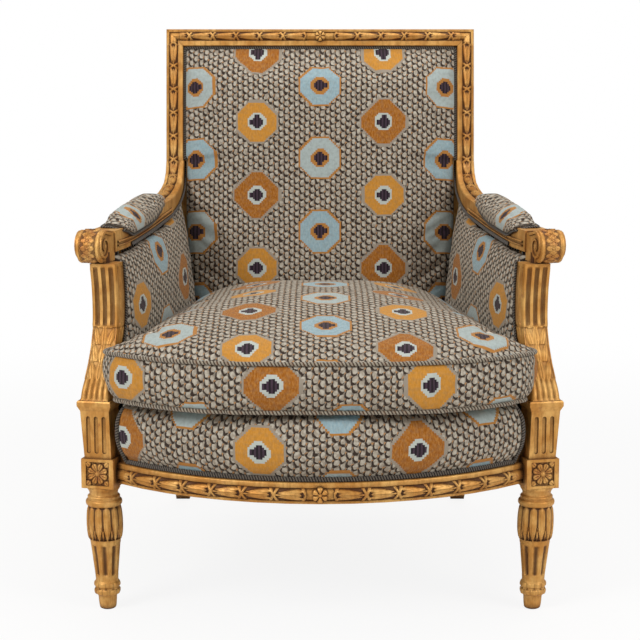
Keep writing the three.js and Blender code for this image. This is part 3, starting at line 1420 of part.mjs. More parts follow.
addPiece("seat_webbing", seatWebbing(), jute);
addPiece("dust_cover", dustCover(), blackCloth);
for (let row = 1; row < web.along; row += 1) {
  for (let column = 1; column < web.across; column += 1) {
    const x = strapMiddle(seatField.left, seatField.right, web.across, column);
    const y = strapMiddle(seatField.near, seatField.far, web.along, row);
    addPiece("seat_spring_" + ((row - 1) * (web.across - 1) + column), seatSpring(x, y), steel);
  }
}
addPiece("seat_hessian", seatHessian(), jute);
addPiece("seat_stuffing", seatStuffing(), feather);
addPiece("deck_cover", deckCover(), cloth);
addPiece("deck_gimp", deckGimp(), trim);

addPiece("back_webbing", backWebbing(), jute);
addPiece("back_pad", backPad(), cloth);
addPiece("back_gimp", backGimp(), trim);
addPiece("outside_back_panel", outsideBackPanel(), cloth);
addPair("inside_arm_pad", insideArmPad(), cloth);
addPair("outside_arm_panel", outsideArmPanel(), cloth);
addPair("armrest_pad", armRestPad(), cloth);
addPair("armrest_gimp", armRestGimp(), trim);
addPair("arm_gimp", armGimp(), trim);
addPair("post_gimp", postGimp(), trim);

addPiece("cushion_cover", cushionCover(), cloth);
addPiece("cushion_core", cushionForm(cushion.cloth + pad.clear), feather);
addPiece("cushion_zip", cushionZip(), trim);
addPiece("cushion_welt_bottom", cushionWelt(0), piping);
addPiece("cushion_welt_top", cushionWelt(1), piping);

// The origin is on the ground under the middle of the chair's box.
const bounds = new THREE.Box3().setFromObject(chair);
chair.position.y = -(bounds.min.y + bounds.max.y) / 2;
chair.updateMatrixWorld(true);

export default chair;
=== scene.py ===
import bpy
import bmesh
import json
import math
from math import sin, cos, pi, radians
from mathutils import Matrix, Vector
from mathutils.bvhtree import BVHTree

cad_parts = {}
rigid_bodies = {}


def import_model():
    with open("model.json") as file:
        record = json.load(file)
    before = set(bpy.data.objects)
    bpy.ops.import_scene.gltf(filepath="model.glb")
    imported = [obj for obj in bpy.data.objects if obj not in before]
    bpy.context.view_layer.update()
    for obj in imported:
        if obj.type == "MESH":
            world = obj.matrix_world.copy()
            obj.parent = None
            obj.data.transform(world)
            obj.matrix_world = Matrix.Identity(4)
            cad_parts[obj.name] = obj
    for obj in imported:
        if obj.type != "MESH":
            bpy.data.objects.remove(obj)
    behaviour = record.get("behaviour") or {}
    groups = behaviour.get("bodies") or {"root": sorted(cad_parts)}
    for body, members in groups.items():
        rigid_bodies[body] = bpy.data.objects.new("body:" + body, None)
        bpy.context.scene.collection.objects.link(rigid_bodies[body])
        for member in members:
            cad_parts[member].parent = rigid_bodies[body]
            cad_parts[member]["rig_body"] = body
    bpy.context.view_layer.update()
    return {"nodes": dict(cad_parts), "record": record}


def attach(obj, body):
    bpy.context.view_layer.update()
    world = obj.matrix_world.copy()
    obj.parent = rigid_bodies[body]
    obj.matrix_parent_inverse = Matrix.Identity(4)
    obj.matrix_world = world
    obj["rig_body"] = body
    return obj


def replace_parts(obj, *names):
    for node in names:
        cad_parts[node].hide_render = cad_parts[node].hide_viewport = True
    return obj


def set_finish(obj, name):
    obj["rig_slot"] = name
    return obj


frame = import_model()
scene = bpy.context.scene
scene.view_settings.view_transform = "Standard"

# camera at the photograph's height and distance
cameraView = {"place": (0, -2.875, 0.84), "tilt": 8.4514, "lens": 97.02, "shift": -0.00023}
lens = bpy.data.cameras.new("frontCamera")
lens.lens = cameraView["lens"]
lens.sensor_width = 36
lens.shift_x = cameraView["shift"]
frontCamera = bpy.data.objects.new("frontCamera", lens)
frontCamera.location = cameraView["place"]
frontCamera.rotation_euler = (radians(90 - cameraView["tilt"]), 0, 0)
scene.collection.objects.link(frontCamera)
scene.camera = frontCamera


# a colour written as on a swatch card, turned to linear light
def tone(swatch, strength=1.0):
    parts = [int(swatch[i:i + 2], 16) / 255 for i in (1, 3, 5)]
    linear = [p / 12.92 if p <= 0.04045 else ((p + 0.055) / 1.055) ** 2.4 for p in parts]
    return (*[min(1, p * strength) for p in linear], 1)


def mix(a, b, share):
    return a + (b - a) * share


def smooth(low, high, value):
    t = min(1, max(0, (value - low) / (high - low)))
    return t * t * (3 - 2 * t)


# a sine or cosine pressed towards a square, for rounded corners
def squared(value, power):
    return math.copysign(abs(value) ** power, value)


# a half-round ridge with a vein down its middle; D runs across it from -1 to 1
def veined(d, deep, width):
    return (1 - d * d) ** 0.5 - deep * math.exp(-(d / width) ** 2)


# shader maths as plain expressions
class Wire:
    def __init__(self, recipe, socket):
        self.recipe = recipe
        self.socket = socket

    def maths(self, operation, *others):
        return self.recipe.maths(operation, self, *others)

    def step(self, low, high):
        return self.recipe.node("ShaderNodeMapRange", {"interpolation_type": "SMOOTHSTEP"},
                                {"Value": self, "From Min": low, "From Max": high})


# wires take the signs of arithmetic, so that a recipe reads like a formula
def wireMethod(operation, turned=False):
    if turned:
        return lambda wire, other: wire.recipe.maths(operation, other, wire)
    return lambda wire, *others: wire.maths(operation, *others)


for word, operation in (("add", "ADD"), ("sub", "SUBTRACT"), ("mul", "MULTIPLY")):
    setattr(Wire, "__" + word + "__", wireMethod(operation))
    setattr(Wire, "__r" + word + "__", wireMethod(operation, True))
for word, operation in (("__truediv__", "DIVIDE"), ("__pow__", "POWER"), ("__mod__", "FLOORED_MODULO"),
                        ("__lt__", "LESS_THAN"), ("__gt__", "GREATER_THAN"), ("__abs__", "ABSOLUTE"),
                        ("floor", "FLOOR"), ("sine", "SINE"), ("least", "MINIMUM"), ("most", "MAXIMUM")):
    setattr(Wire, word, wireMethod(operation))


# one material and its nodes
class Recipe:
    def __init__(self, name, world=False):
        self.block = bpy.data.worlds.new(name) if world else bpy.data.materials.new(name)
        self.block.use_nodes = True
        self.tree = self.block.node_tree
        self.tree.nodes.clear()

    def node(self, kind, settings=None, values=None, out=0):
        made = self.tree.nodes.new(kind)
        for key, value in (settings or {}).items():
            setattr(made, key, value)
        for key, value in (values or {}).items():
            if isinstance(value, Wire):
                self.tree.links.new(value.socket, made.inputs[key])
            else:
                made.inputs[key].default_value = value
        return Wire(self, made.outputs[out]) if made.outputs else None

    def maths(self, operation, *values):
        return self.node("ShaderNodeMath", {"operation": operation}, dict(enumerate(values)))

    def split(self, vector):
        first = self.node("ShaderNodeSeparateXYZ", None, {0: vector})
        return [Wire(self, output) for output in first.socket.node.outputs]

    def join(self, x, y, z):
        return self.node("ShaderNodeCombineXYZ", None, {0: x, 1: y, 2: z})

    def blend(self, share, first, second):
        return self.node("ShaderNodeMix", {"data_type": "RGBA"}, {0: share, 6: first, 7: second}, 2)

    def noise(self, vector, scale, detail=2.0, roughness=0.5):
        return self.node("ShaderNodeTexNoise", None,
                         {"Vector": vector, "Scale": scale, "Detail": detail, "Roughness": roughness})

    def stretched(self, vector, scale):
        return self.node("ShaderNodeMapping", None, {"Vector": vector, "Scale": scale})

    def bump(self, height, distance, strength):
        return self.node("ShaderNodeBump", None, {"Height": height, "Distance": distance, "Strength": strength})

    def finish(self, values):
        shader = self.node("ShaderNodeBsdfPrincipled", None, values)
        self.node("ShaderNodeOutputMaterial", None, {"Surface": shader})
        return self.block


print("stage: materials")

# woven cloth: a ground of small staggered ticks, stepped medallions in a half-drop lattice
clothLook = {
    "tickWide": 0.0094, "tickHigh": 0.0126, "block": 0.0031, "columnPitch": 0.116, "rowPitch": 0.134,
    "radius": 0.0396, "rim": 0.0037, "eye": 0.0166, "armShort": 0.0046, "armLong": 0.0118, "armMiddle": 0.0077,
    "rib": 0.0021, "ribStretch": 1.3, "heartRib": 0.0062, "height": 0.0011, "relief": 0.8,
    "drift": 0.0016, "wander": 0.007, "sway": 0.008, "scale": (0.46, 0.5), "face": (0.17, 0.43, 0.46),
    "fleckAt": (0.36, 0.4), "fleckSize": 0.035, "roughness": 0.88, "shine": 0.22, "sheen": 0.22, "sheenSpread": 0.45,
    "noise": {"driftU": 60, "driftV": 47, "wander": 95, "sway": 120, "broad": 160, "pile": 420, "fine": 900},
    "pale": "#b7afa0", "shade": "#978c7d", "crescentShade": "#2a1c15", "fleck": "#b37f4b",
    "blue": "#8ea8b1", "ice": "#a5b0ae", "rust": "#96560f", "gold": "#c0832c", "dark": "#221820", "line": "#ad7638",
    "coolTipHighlight": "#b9c4bf", "warmTipHighlight": "#dba256", "soil": "#6f6a5c", "ring": "#b7bcb4", "heart": "#5b4656",
    "nap": "#d8cdb9",
}


# how far a thread block lies from its medallion's middle, and which of four colours comes round there
def nearestMedallion(look, bu, bv):
    lane = (bu / look["columnPitch"]).floor()
    mx = abs(bu - (lane + 0.5) * look["columnPitch"])
    lift = bv + (lane % 2) * (look["rowPitch"] / 2)
    row = (lift / look["rowPitch"]).floor()
    my = abs(lift - (row + 0.5) * look["rowPitch"])
    return mx, my, (lane + row * 2) % 4


def clothMaterial(name, look):
    c = Recipe(name)
    uv = c.node("ShaderNodeUVMap", {"uv_map": "cloth"})
    u0, v0, _ = c.split(uv)
    grain = look["noise"]
    u = u0 + (c.noise(uv, grain["driftU"], 2) - 0.5) * look["drift"]
    v = v0 + (c.noise(uv, grain["driftV"], 2) - 0.5) * look["drift"]
    # staggered scales of uneven width, each with a dark crescent at its left and lower edge and darker ground outside
    # its upper right face: painted shade of the domed scales
    wander = c.noise(uv, grain["wander"], 2) - 0.5
    sway = c.noise(uv, grain["sway"], 2) - 0.5
    wide = (u + wander * look["wander"]) / look["tickWide"]
    column = wide.floor()
    x = wide - column - 0.5
    tall = (v + sway * look["sway"]) / look["tickHigh"] + (column % 2) * 0.5
    y = tall - tall.floor() - 0.5
    scaleWide, scaleHigh = look["scale"]
    shift, faceWide, faceHigh = look["face"]
    scaleShape = (x / scaleWide) ** 2 + (abs(y) / scaleHigh) ** 2
    inner = ((x - shift) / faceWide) ** 2 + (abs(y - shift) / faceHigh) ** 2
    fine = c.noise(uv, grain["fine"], 2)
    broad = c.noise(uv, grain["broad"], 2)
    face = 1 - (inner + (fine - 0.5) * 0.5).step(0.62, 0.95)
    crescentShade = (1 - (scaleShape + (broad - 0.5) * 0.5).step(0.85, 1.15)) * (1 - face)
    fleckX, fleckY = look["fleckAt"]
    fleck = ((x + fleckX) ** 2 + (y - fleckY) ** 2 + (broad - 0.5) * 0.12 < look["fleckSize"]) * 1.0
    ground = c.blend(broad.step(0.35, 0.65), tone(look["pale"]), tone(look["shade"]))
    ground = c.blend(1 - face, ground, tone(look["shade"], 0.66))
    ground = c.blend(crescentShade * 0.92, ground, tone(look["crescentShade"]))
    ground = c.blend(fleck * (1 - crescentShade) * 0.8, ground, tone(look["fleck"]))
    # medallions, stepped to the thread blocks
    block = look["block"]
    bu = ((u / block).floor() + 0.5) * block
    bv = ((v / block).floor() + 0.5) * block
    mx, my, turn = nearestMedallion(look, bu, bv)
    isRust, isIce, isGold = [(abs(turn - kind) < 0.5) * 1.0 for kind in (1, 2, 3)]
    warm = isRust + isGold
    octagon = mx.most(my).most((mx + my) * 0.72)
    lozenge = ((mx + my) * 0.7).most(mx * 0.86).most(my * 0.86) * 1.02
    cross = mx.most(my * 1.45).least(my.most(mx * 1.45)).most((mx + my) * 0.74)
    reach = octagon + isRust * (lozenge - octagon) + isGold * (cross - octagon)
    body = (reach < look["radius"]) * 1.0
    rim = body * (reach > look["radius"] - look["rim"])
    eye = (mx.most(my).most((mx + my) * 0.74) < look["eye"]) * 1.0
    short, long, middle = look["armShort"], look["armLong"], look["armMiddle"]
    plus = ((mx < short) * (my < long)).most((my < short) * (mx < long)).most((mx < middle) * (my < middle))
    mottle = c.noise(c.stretched(uv, (1, 0.35, 1)), grain["pile"], 3, 0.65)
    fill = c.blend(warm, c.blend(isIce, tone(look["blue"]), tone(look["ice"])),
                   c.blend(isGold, tone(look["rust"]), tone(look["gold"])))
    # random patches of lighter pile: partly the pile's own tone, partly a painted highlight of its sheen
    tipHighlight = c.blend(warm, tone(look["coolTipHighlight"]), tone(look["warmTipHighlight"]))
    fill = c.blend(mottle.step(0.38, 0.66) * 0.34, fill, tipHighlight)
    fill = c.blend(broad.step(0.4, 0.7) * 0.22, fill, tone(look["soil"]))
    edge = c.blend(warm, tone(look["line"]), tone(look["shade"]))
    ring = c.blend(warm, tone(look["line"]), tone(look["ring"]))
    heart = c.blend((bu / look["heartRib"] % 1).step(0.35, 0.65) * 0.4, tone(look["dark"]), tone(look["heart"]))
    medallion = c.blend(plus, c.blend(eye, c.blend(rim, fill, edge), ring), heart)
    colour = c.blend(body, ground, medallion)
    # the weave: domed scales on the ground, ribs of pile on the medallions
    rib = (u0 * (2 * pi / look["rib"])).sine() * (v0 * (2 * pi / (look["rib"] * look["ribStretch"]))).sine()
    dome = (1 - scaleShape.least(1)) * 0.9 - crescentShade * 0.5
    pile = rib * 0.22 + mottle * 0.5 + 0.35 - rim * 0.15 - plus * 0.1
    height = dome + body * (pile - dome) + fine * 0.3
    return c.finish({
        "Base Color": colour, "Roughness": look["roughness"], "Specular IOR Level": look["shine"],
        "Sheen Weight": look["sheen"], "Sheen Roughness": look["sheenSpread"], "Sheen Tint": tone(look["nap"]),
        "Normal": c.bump(height, look["height"], look["relief"]),
    })


# twisted cord and braid; U runs along in metres, V round the cord as a share
def cordMaterial(name, look):
    c = Recipe(name)
    uv = c.node("ShaderNodeUVMap", {"uv_map": "cord"})
    u, v, _ = c.split(uv)
    twist = u / look["pitch"] + v * look["strands"]
    strand = (twist * (2 * pi)).sine()
    fine = c.noise(c.join(u, v * 0.02, 0), 1500, 2)
    broad = c.noise(c.join(u, v * 0.01, 0), 190, 2)
    # the strands' crests take the light colour and the grooves between them the deep one: painted shade of the twist;
    # the fine noise darkens random fibres
    colour = c.blend(strand.step(-0.55, 0.35), tone(look["deep"]), tone(look["light"]))
    colour = c.blend(fine.step(0.45, 0.7) * 0.5, colour, tone(look["deep"]))
    if "fleck" in look:
        odd = ((twist.floor() % 3) < 0.5) * 1.0
        colour = c.blend(odd * look["flecked"] * broad.step(0.35, 0.6), colour, tone(look["fleck"]))
    relief = c.bump(strand * 0.7 + fine * 0.3, 0.0009, 0.9)
    return c.finish({"Base Color": colour, "Roughness": 0.85, "Specular IOR Level": 0.25, "Sheen Weight": 0.15,
                     "Sheen Roughness": 0.5, "Normal": relief})


pipingLook = {
    "light": "#a39a89", "deep": "#4a3d31", "pitch": 0.0052, "strands": 2, "flecked": 0.3, "fleck": "#7a4a22",
}
trimLook = {"light": "#6a6156", "deep": "#231d19", "pitch": 0.0042, "strands": 2}

# antique gilding: ochre leaf over red bole, brown glaze left in the hollows; hollows and gaps against other parts
# also take painted shade in the glaze colour, and raised carving a painted highlight
giltLook = {
    "leaf": "#c68a3f", "bright": "#e6b468", "dull": "#a06a2c", "glazeAndShade": "#43230d", "bole": "#8e4420",
    "hollow": 0.012, "arris": 0.0035, "metal": 0.5, "roughness": 0.4, "shine": 0.45,
}


def giltMaterial(name, look, carved=False):
    g = Recipe(name)
    place = g.node("ShaderNodeTexCoord", None, None, 3)
    cloudy = g.noise(place, 26, 3, 0.6)
    speck = g.noise(place, 420, 3, 0.65)
    streak = g.noise(g.stretched(place, (1, 1, 0.25)), 150, 3, 0.6)
    worn = g.noise(place, 75, 4, 0.7)
    # occlusion darkens hollows, creases and gaps beside other parts towards the glaze colour: partly glaze patina,
    # partly painted shade
    nearby = g.node("ShaderNodeAmbientOcclusion", {"samples": 6}, {"Distance": look["hollow"]}, 1)
    hollowGlazeAndShade = 1 - nearby.step(0.4, 0.97)
    thin = g.node("ShaderNodeAmbientOcclusion", {"samples": 4, "inside": True}, {"Distance": look["arris"]}, 1)
    arris = (1 - thin.step(0.3, 0.62)) * worn.step(0.38, 0.62)
    colour = g.blend(cloudy.step(0.35, 0.68), tone(look["leaf"]), tone(look["bright"]))
    colour = g.blend(streak.step(0.42, 0.72) * 0.55, colour, tone(look["dull"]))
    colour = g.blend(worn.step(0.6, 0.74) * 0.6, colour, tone(look["bole"]))
    colour = g.blend(arris * 0.55, colour, tone(look["bole"]))
    if carved:
        # the relief layer darkens carved recesses towards the glaze colour: partly glaze patina, partly painted shade
        relief = g.node("ShaderNodeAttribute", {"attribute_name": "relief"}, None, 2)
        colour = g.blend((1 - relief.step(0.06, 0.56)) * 0.9, colour, tone(look["glazeAndShade"]))
        # the carving's high points lighten: painted highlight, with some rubbed gilding
        colour = g.blend((relief + (speck - 0.5) * 0.3).step(0.86, 1.02) * 0.35, colour, tone(look["bright"]))
    colour = g.blend(hollowGlazeAndShade * 0.85, colour, tone(look["glazeAndShade"]))
    colour = g.blend(speck.step(0.6, 0.75) * 0.3, colour, tone(look["glazeAndShade"], 1.6))
    metal = look["metal"] - worn.step(0.58, 0.72) * 0.35 - hollowGlazeAndShade * 0.3
    rough = look["roughness"] + speck * 0.16 + hollowGlazeAndShade * 0.25
    relief = g.bump(speck * 0.25 + streak * 0.4 + cloudy * 0.5, 0.0006, 0.5)
    return g.finish({"Base Color": colour, "Metallic": metal, "Roughness": rough, "Normal": relief,
                     "Specular IOR Level": look["shine"]})


def plainMaterial(name, light, deep, scale, roughness, bump, metallic=0.0, stretch=(1, 1, 1)):
    p = Recipe(name)
    place = p.node("ShaderNodeTexCoord", None, None, 3)
    grain = p.noise(p.stretched(place, stretch), scale, 4, 0.6)
    broad = p.noise(place, scale / 9, 2)
    colour = p.blend(grain.step(0.35, 0.68), tone(deep), tone(light))
    colour = p.blend(broad.step(0.4, 0.65) * 0.25, colour, tone(deep))
    return p.finish({"Base Color": colour, "Roughness": roughness + (grain - 0.5) * 0.2, "Metallic": metallic,
                     "Normal": p.bump(grain, bump, 0.7)})


stripeLook = {"pitch": 0.05, "half": 0.0022, "strength": 0.7}


def wovenMaterial(name, light, deep, pitch, stripe=None):
    w = Recipe(name)
    place = w.node("ShaderNodeTexCoord", None, None, 3)
    x, y, z = w.split(place)
    warp = (x * (2 * pi / pitch)).sine()
    weft = ((y + z) * (2 * pi / pitch)).sine()
    over = warp * weft
    rough = w.noise(place, 700, 3, 0.6)
    # lighter where the threads ride over, darker where they dip: painted shade of the weave
    colour = w.blend((over + (rough - 0.5) * 1.2).step(-0.6, 0.6), tone(deep), tone(light))
    if stripe:
        band = (abs(x % stripeLook["pitch"] - stripeLook["pitch"] / 2) < stripeLook["half"]) * 1.0
        colour = w.blend(band * stripeLook["strength"], colour, tone(stripe))
    return w.finish({"Base Color": colour, "Roughness": 0.92, "Specular IOR Level": 0.2,
                     "Normal": w.bump(over * 0.5 + rough * 0.5, 0.0006, 0.8)})


finishes = {
    "upholstery": clothMaterial("wovenMedallionCloth", clothLook),
    "piping": cordMaterial("twistedCord", pipingLook),
    "braid": cordMaterial("darkBraid", trimLook),
    "gilt_wood": giltMaterial("antiqueGilt", giltLook),
    "carvedGilt": giltMaterial("carvedGilt", giltLook, True),
    "beech": plainMaterial("sawnBeech", "#cfb086", "#a98456", 240, 0.72, 0.0004, stretch=(1, 1, 0.12)),
    "jute": wovenMaterial("juteWeave", "#b89a6c", "#6f5637", 0.0032, "#5a3a24"),
    "spring_steel": plainMaterial("springSteel", "#8b7460", "#4e453f", 500, 0.42, 0.0001, 0.85),
    "filling": plainMaterial("cottonWadding", "#e8e1d2", "#bfb5a2", 300, 0.95, 0.0012),
    "black_cotton": wovenMaterial("blackCotton", "#2d2a29", "#151413", 0.0014),
}
slotOf = {row["node"]: row["material_slot"] for row in frame["record"]["subparts"]}
for name, part in frame["nodes"].items():
    part.data.materials.clear()
    part.data.materials.append(finishes[slotOf[name]])


print("stage: shared forms")
chair = {
    "centreY": -0.275, "turn": radians(13), "rake": radians(8.5), "faceY": 0.289, "seatZ": 0.24,
    "halfWidth": 0.287, "height": 0.904, "jointZ": 0.662, "moulding": 0.0315, "rebateDepth": 0.009,
    "legX": 0.335, "footX": 0.331, "bowRadius": 0.43939, "bowY": 0.02039,
}
backUp = (chair["height"] - chair["seatZ"]) / cos(chair["rake"])
backJoint = (chair["jointZ"] - chair["seatZ"]) / cos(chair["rake"])
backFront = Vector((0, -cos(chair["rake"]), sin(chair["rake"])))
backRise = Vector((0, sin(chair["rake"]), cos(chair["rake"])))


def backPoint(x, behind, up):
    return Vector((x, chair["faceY"], chair["seatZ"])) + backRise * up - backFront * behind


legTurn = Matrix.Rotation(chair["turn"], 4, "Z")
legPlace = Matrix.Translation((chair["legX"], chair["centreY"], 0)) @ legTurn


def legPoint(out, behind, z):
    return legPlace @ Vector((out, behind, z))


def bowPoint(turn, into, z):
    reach = chair["bowRadius"] - into
    return Vector((reach * sin(turn), chair["bowY"] - reach * cos(turn), z))


def between(places, values, at):
    for k in range(1, len(places)):
        if at <= places[k] or k == len(places) - 1:
            share = min(1, max(0, (at - places[k - 1]) / (places[k] - places[k - 1])))
            return mix(values[k - 1], values[k], share)


# a smooth line through points, with its length measured
class Line:
    def __init__(self, points, closed=False, fine=12):
        count = len(points)
        self.points = []
        for k in range(count if closed else count - 1):
            a, b = points[k], points[(k + 1) % count]
            before = points[k - 1] if closed or k else a * 2 - b
            after = points[(k + 2) % count] if closed or k + 2 < count else b * 2 - a
            d0, d1, d2 = [max(1e-5, (q - p).length) ** 0.5 for p, q in ((before, a), (a, b), (b, after))]
            t1 = ((a - before) / d0 - (b - before) / (d0 + d1) + (b - a) / d1) * d1
            t2 = ((b - a) / d1 - (after - a) / (d1 + d2) + (after - b) / d2) * d1
            for j in range(fine):
                t = j / fine
                square, cube = b * 3 - a * 3 - t1 * 2 - t2, a * 2 - b * 2 + t1 + t2
                self.points.append(a + t1 * t + square * t ** 2 + cube * t ** 3)
        self.points.append(points[0] if closed else points[-1])
        self.far = [0.0]
        for a, b in zip(self.points, self.points[1:]):
            self.far.append(self.far[-1] + (b - a).length)
        self.length = self.far[-1]

    def at(self, share):
        goal = min(1, max(0, share)) * self.length
        low, high = 0, len(self.far) - 1
        while high - low > 1:
            middle = (low + high) // 2
            if self.far[middle] > goal:
                high = middle
            else:
                low = middle
        part = (goal - self.far[low]) / max(1e-9, self.far[high] - self.far[low])
        return self.points[low].lerp(self.points[high], part)

    def along(self, share):
        return (self.at(share + 0.004) - self.at(share - 0.004)).normalized()


def formOf(mesh):
    form = bmesh.new()
    form.from_mesh(mesh)
    return form


def gridForm(columns, rows, size=0.5):
    form = bmesh.new()
    bmesh.ops.create_grid(form, x_segments=columns, y_segments=rows, size=size)
    return form


def openEdges(form):
    return [e for e in form.edges if e.is_boundary]


def closed(form):
    bmesh.ops.holes_fill(form, edges=openEdges(form), sides=0)
    bmesh.ops.recalc_face_normals(form, faces=form.faces)
    return form


def linked(name, form):
    mesh = bpy.data.meshes.new(name)
    form.to_mesh(mesh)
    form.free()
    piece = bpy.data.objects.new(name, mesh)
    scene.collection.objects.link(piece)
    return piece


def keep(name, form, finish, body="frame", angle=40):
    piece = linked(name, form)
    mesh = piece.data
    mesh.polygons.foreach_set("use_smooth", [True] * len(mesh.polygons))
    if angle < 180:
        mesh.set_sharp_from_angle(angle=radians(angle))
    mesh.materials.append(finishes[finish])
    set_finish(piece, "gilt_wood" if finish == "carvedGilt" else finish)
    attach(piece, body)
    return piece


def finer(piece):
    step = piece.modifiers.new("finer", "SUBSURF")
    step.levels = step.render_levels = 1
    return piece


# the left-hand twin of a piece
def mirrored(piece):
    form = formOf(piece.data)
    bmesh.ops.scale(form, vec=(-1, 1, 1), verts=form.verts)
    bmesh.ops.reverse_faces(form, faces=form.faces)
    other = linked(piece.name.replace("_right", "_left"), form)
    for material in piece.data.materials:
        other.data.materials.append(material)
    if piece.modifiers:
        finer(other)
    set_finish(other, piece["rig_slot"])
    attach(other, piece["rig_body"])
    return other


# a right-hand piece and its twin stand for the two solids of a pair
def pairFor(piece, node):
    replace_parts(piece, node + "_right")
    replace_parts(mirrored(piece), node + "_left")


def softFor(piece, node):
    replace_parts(piece, node)
    return piece


def cadShell(node):
    shell = formOf(frame["nodes"][node].data)
    bmesh.ops.remove_doubles(shell, verts=shell.verts, dist=3e-5)
    return shell


easedLook = {"flat": 0.6, "sharp": 32, "width": 0.0006, "arris": 30}


# a cad solid with its flat facets joined and its arrises eased; low cuts away what lies below that height
def eased(node, low=None):
    form = cadShell(node)
    bmesh.ops.dissolve_limit(form, angle_limit=radians(easedLook["flat"]), verts=form.verts, edges=form.edges)
    if low is not None:
        cut = bmesh.ops.bisect_plane(form, geom=form.verts[:] + form.edges[:] + form.faces[:], dist=1e-5,
                                     plane_co=(0, 0, low), plane_no=(0, 0, 1), clear_inner=True)
        bmesh.ops.edgeloop_fill(form, edges=[e for e in cut["geom_cut"] if isinstance(e, bmesh.types.BMEdge)])
    body = frame["nodes"][node]["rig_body"]
    piece = keep(node + "_finished", form, slotOf[node], angle=easedLook["sharp"], body=body)
    soften = piece.modifiers.new("arris", "BEVEL")
    soften.width = easedLook["width"]
    soften.segments = 2
    soften.limit_method = "ANGLE"
    soften.angle_limit = radians(easedLook["arris"])
    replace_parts(piece, node)


print("stage: gilt frame")
for node in ["crest_rail", "front_rail", "back_seat_rail"] + [
        stem + side for stem in ("back_post", "arm", "side_rail") for side in ("_right", "_left")]:
    eased(node)

# front leg: turned knop, fluted shaft and leafed bulb; the squared block above comes from the solid
legLook = {
    "rings": 190, "around": 168, "height": 0.196, "flutes": 8, "fluteDepth": 0.0032, "fluteFrom": 0.0535,
    "fluteTo": 0.105, "leaves": 12, "leafFrom": 0.1125, "leafTo": 0.1655, "leafDepth": 0.0031,
    "petals": 10, "knopFrom": 0.0235, "knopTo": 0.0425, "knopDepth": 0.0012,
    "profile": [
        (0.0098, 0), (0.0122, 0.0016), (0.0131, 0.005), (0.0140, 0.014), (0.0146, 0.0205), (0.0160, 0.0232),
        (0.0193, 0.0245), (0.0205, 0.0285), (0.0203, 0.0315), (0.0184, 0.0335), (0.0187, 0.0352), (0.0203, 0.0368),
        (0.0206, 0.0398), (0.0200, 0.0425), (0.0180, 0.0445), (0.0175, 0.047), (0.0177, 0.0515), (0.0182, 0.0575),
        (0.0206, 0.081), (0.0229, 0.1035), (0.0235, 0.1085), (0.0240, 0.1112), (0.0258, 0.1135), (0.0274, 0.1195),
        (0.0284, 0.131), (0.0286, 0.144), (0.0281, 0.1535), (0.0271, 0.161), (0.0259, 0.1645), (0.0262, 0.1662),
        (0.0274, 0.1675), (0.0281, 0.1700), (0.0279, 0.1728), (0.0267, 0.1748), (0.0246, 0.1762), (0.0248, 0.1778),
        (0.0252, 0.1795), (0.0243, 0.1812), (0.0222, 0.1830), (0.0219, 0.1852), (0.0228, 0.1885), (0.0256, 0.1932),
        (0.0258, 0.1965),
    ],
}


# long leaves round the bulb: rounded at the top, pointed below, a dart between each two
def bulbLeaf(around, up):
    side = abs(around % 1 - 0.5) * 2
    wide = 0.9 * min(1, 0.12 + up * 2.6) ** 0.8 * max(0, 1 - max(0, (up - 0.86) / 0.14) ** 2) ** 0.5
    leaf = 0
    if side < wide:
        d = side / wide
        leaf = (1 - d ** 4) * (1 - 0.4 * math.exp(-((d - 0.5) / 0.16) ** 2)) * (0.72 + 0.28 * (1 - up))
    far = 1 - side
    dart = 0
    half = 0.34 * min(1, max(0, up - 0.02) * 7) * max(0, 1 - up / 0.42) ** 0.6
    if far < half:
        dart = 0.85 * (1 - (far / half) ** 2) ** 0.5
    return max(leaf, dart)


def turnedLeg(look):
    form = bmesh.new()
    outline = Line([Vector((r, 0, z)) for r, z in look["profile"]], fine=6)
    verts = [form.verts.new(outline.at(k / look["rings"])) for k in range(look["rings"] + 1)]
    edges = [form.edges.new(pair) for pair in zip(verts, verts[1:])]
    bmesh.ops.spin(form, geom=verts + edges, cent=(0, 0, 0), axis=(0, 0, 1), angle=2 * pi, steps=look["around"],
                   use_merge=True)
    bmesh.ops.remove_doubles(form, verts=form.verts, dist=1e-6)
    relief = form.verts.layers.float.new("relief")
    for v in form.verts:
        radius = math.hypot(v.co.x, v.co.y)
        around = math.atan2(v.co.y, v.co.x)
        z = v.co.z
        cut, show = 0.0, 0.72
        inFlute = smooth(look["fluteFrom"], look["fluteFrom"] + 0.004, z)
        inFlute *= 1 - smooth(look["fluteTo"] - 0.004, look["fluteTo"], z)
        if inFlute > 0:
            wave = cos(around * look["flutes"])
            hollow = max(0, (wave + 0.25) / 1.25) ** 0.6 * inFlute
            cut += look["fluteDepth"] * hollow
            bead = max(0, 1 - ((z - look["fluteTo"] + 0.009) / 0.006) ** 2) * max(0, wave) * 0.7
            cut -= look["fluteDepth"] * bead * 0.6
            show -= hollow * 0.6
        up = (z - look["leafFrom"]) / (look["leafTo"] - look["leafFrom"])
        if 0 < up < 1:
            rise = bulbLeaf(around * look["leaves"] / (2 * pi), up)
            cut += look["leafDepth"] * (1 - rise)
            show = 0.1 + rise * 0.76
        knop = (z - look["knopFrom"]) / (look["knopTo"] - look["knopFrom"])
        if 0 < knop < 1:
            turn = (around * look["petals"] / (2 * pi) + 0.5 * (knop > 0.5)) % 1 - 0.5
            petal = 1 - abs(turn * 2) ** 2
            cut += look["knopDepth"] * (1 - petal)
            show = 0.3 + 0.55 * petal
        shrink = 1 - cut / max(radius, 0.004)
        v.co.x *= shrink
        v.co.y *= shrink
        v.co.x += chair["legX"] + (chair["footX"] - chair["legX"]) * (1 - z / look["height"])
        v.co.y += chair["centreY"]
        v[relief] = show
    return keep("turned_leg_right", closed(form), "carvedGilt", angle=50)


for side in ("right", "left"):
    eased("front_leg_" + side, low=legLook["height"] - 0.0005)
mirrored(turnedLeg(legLook))


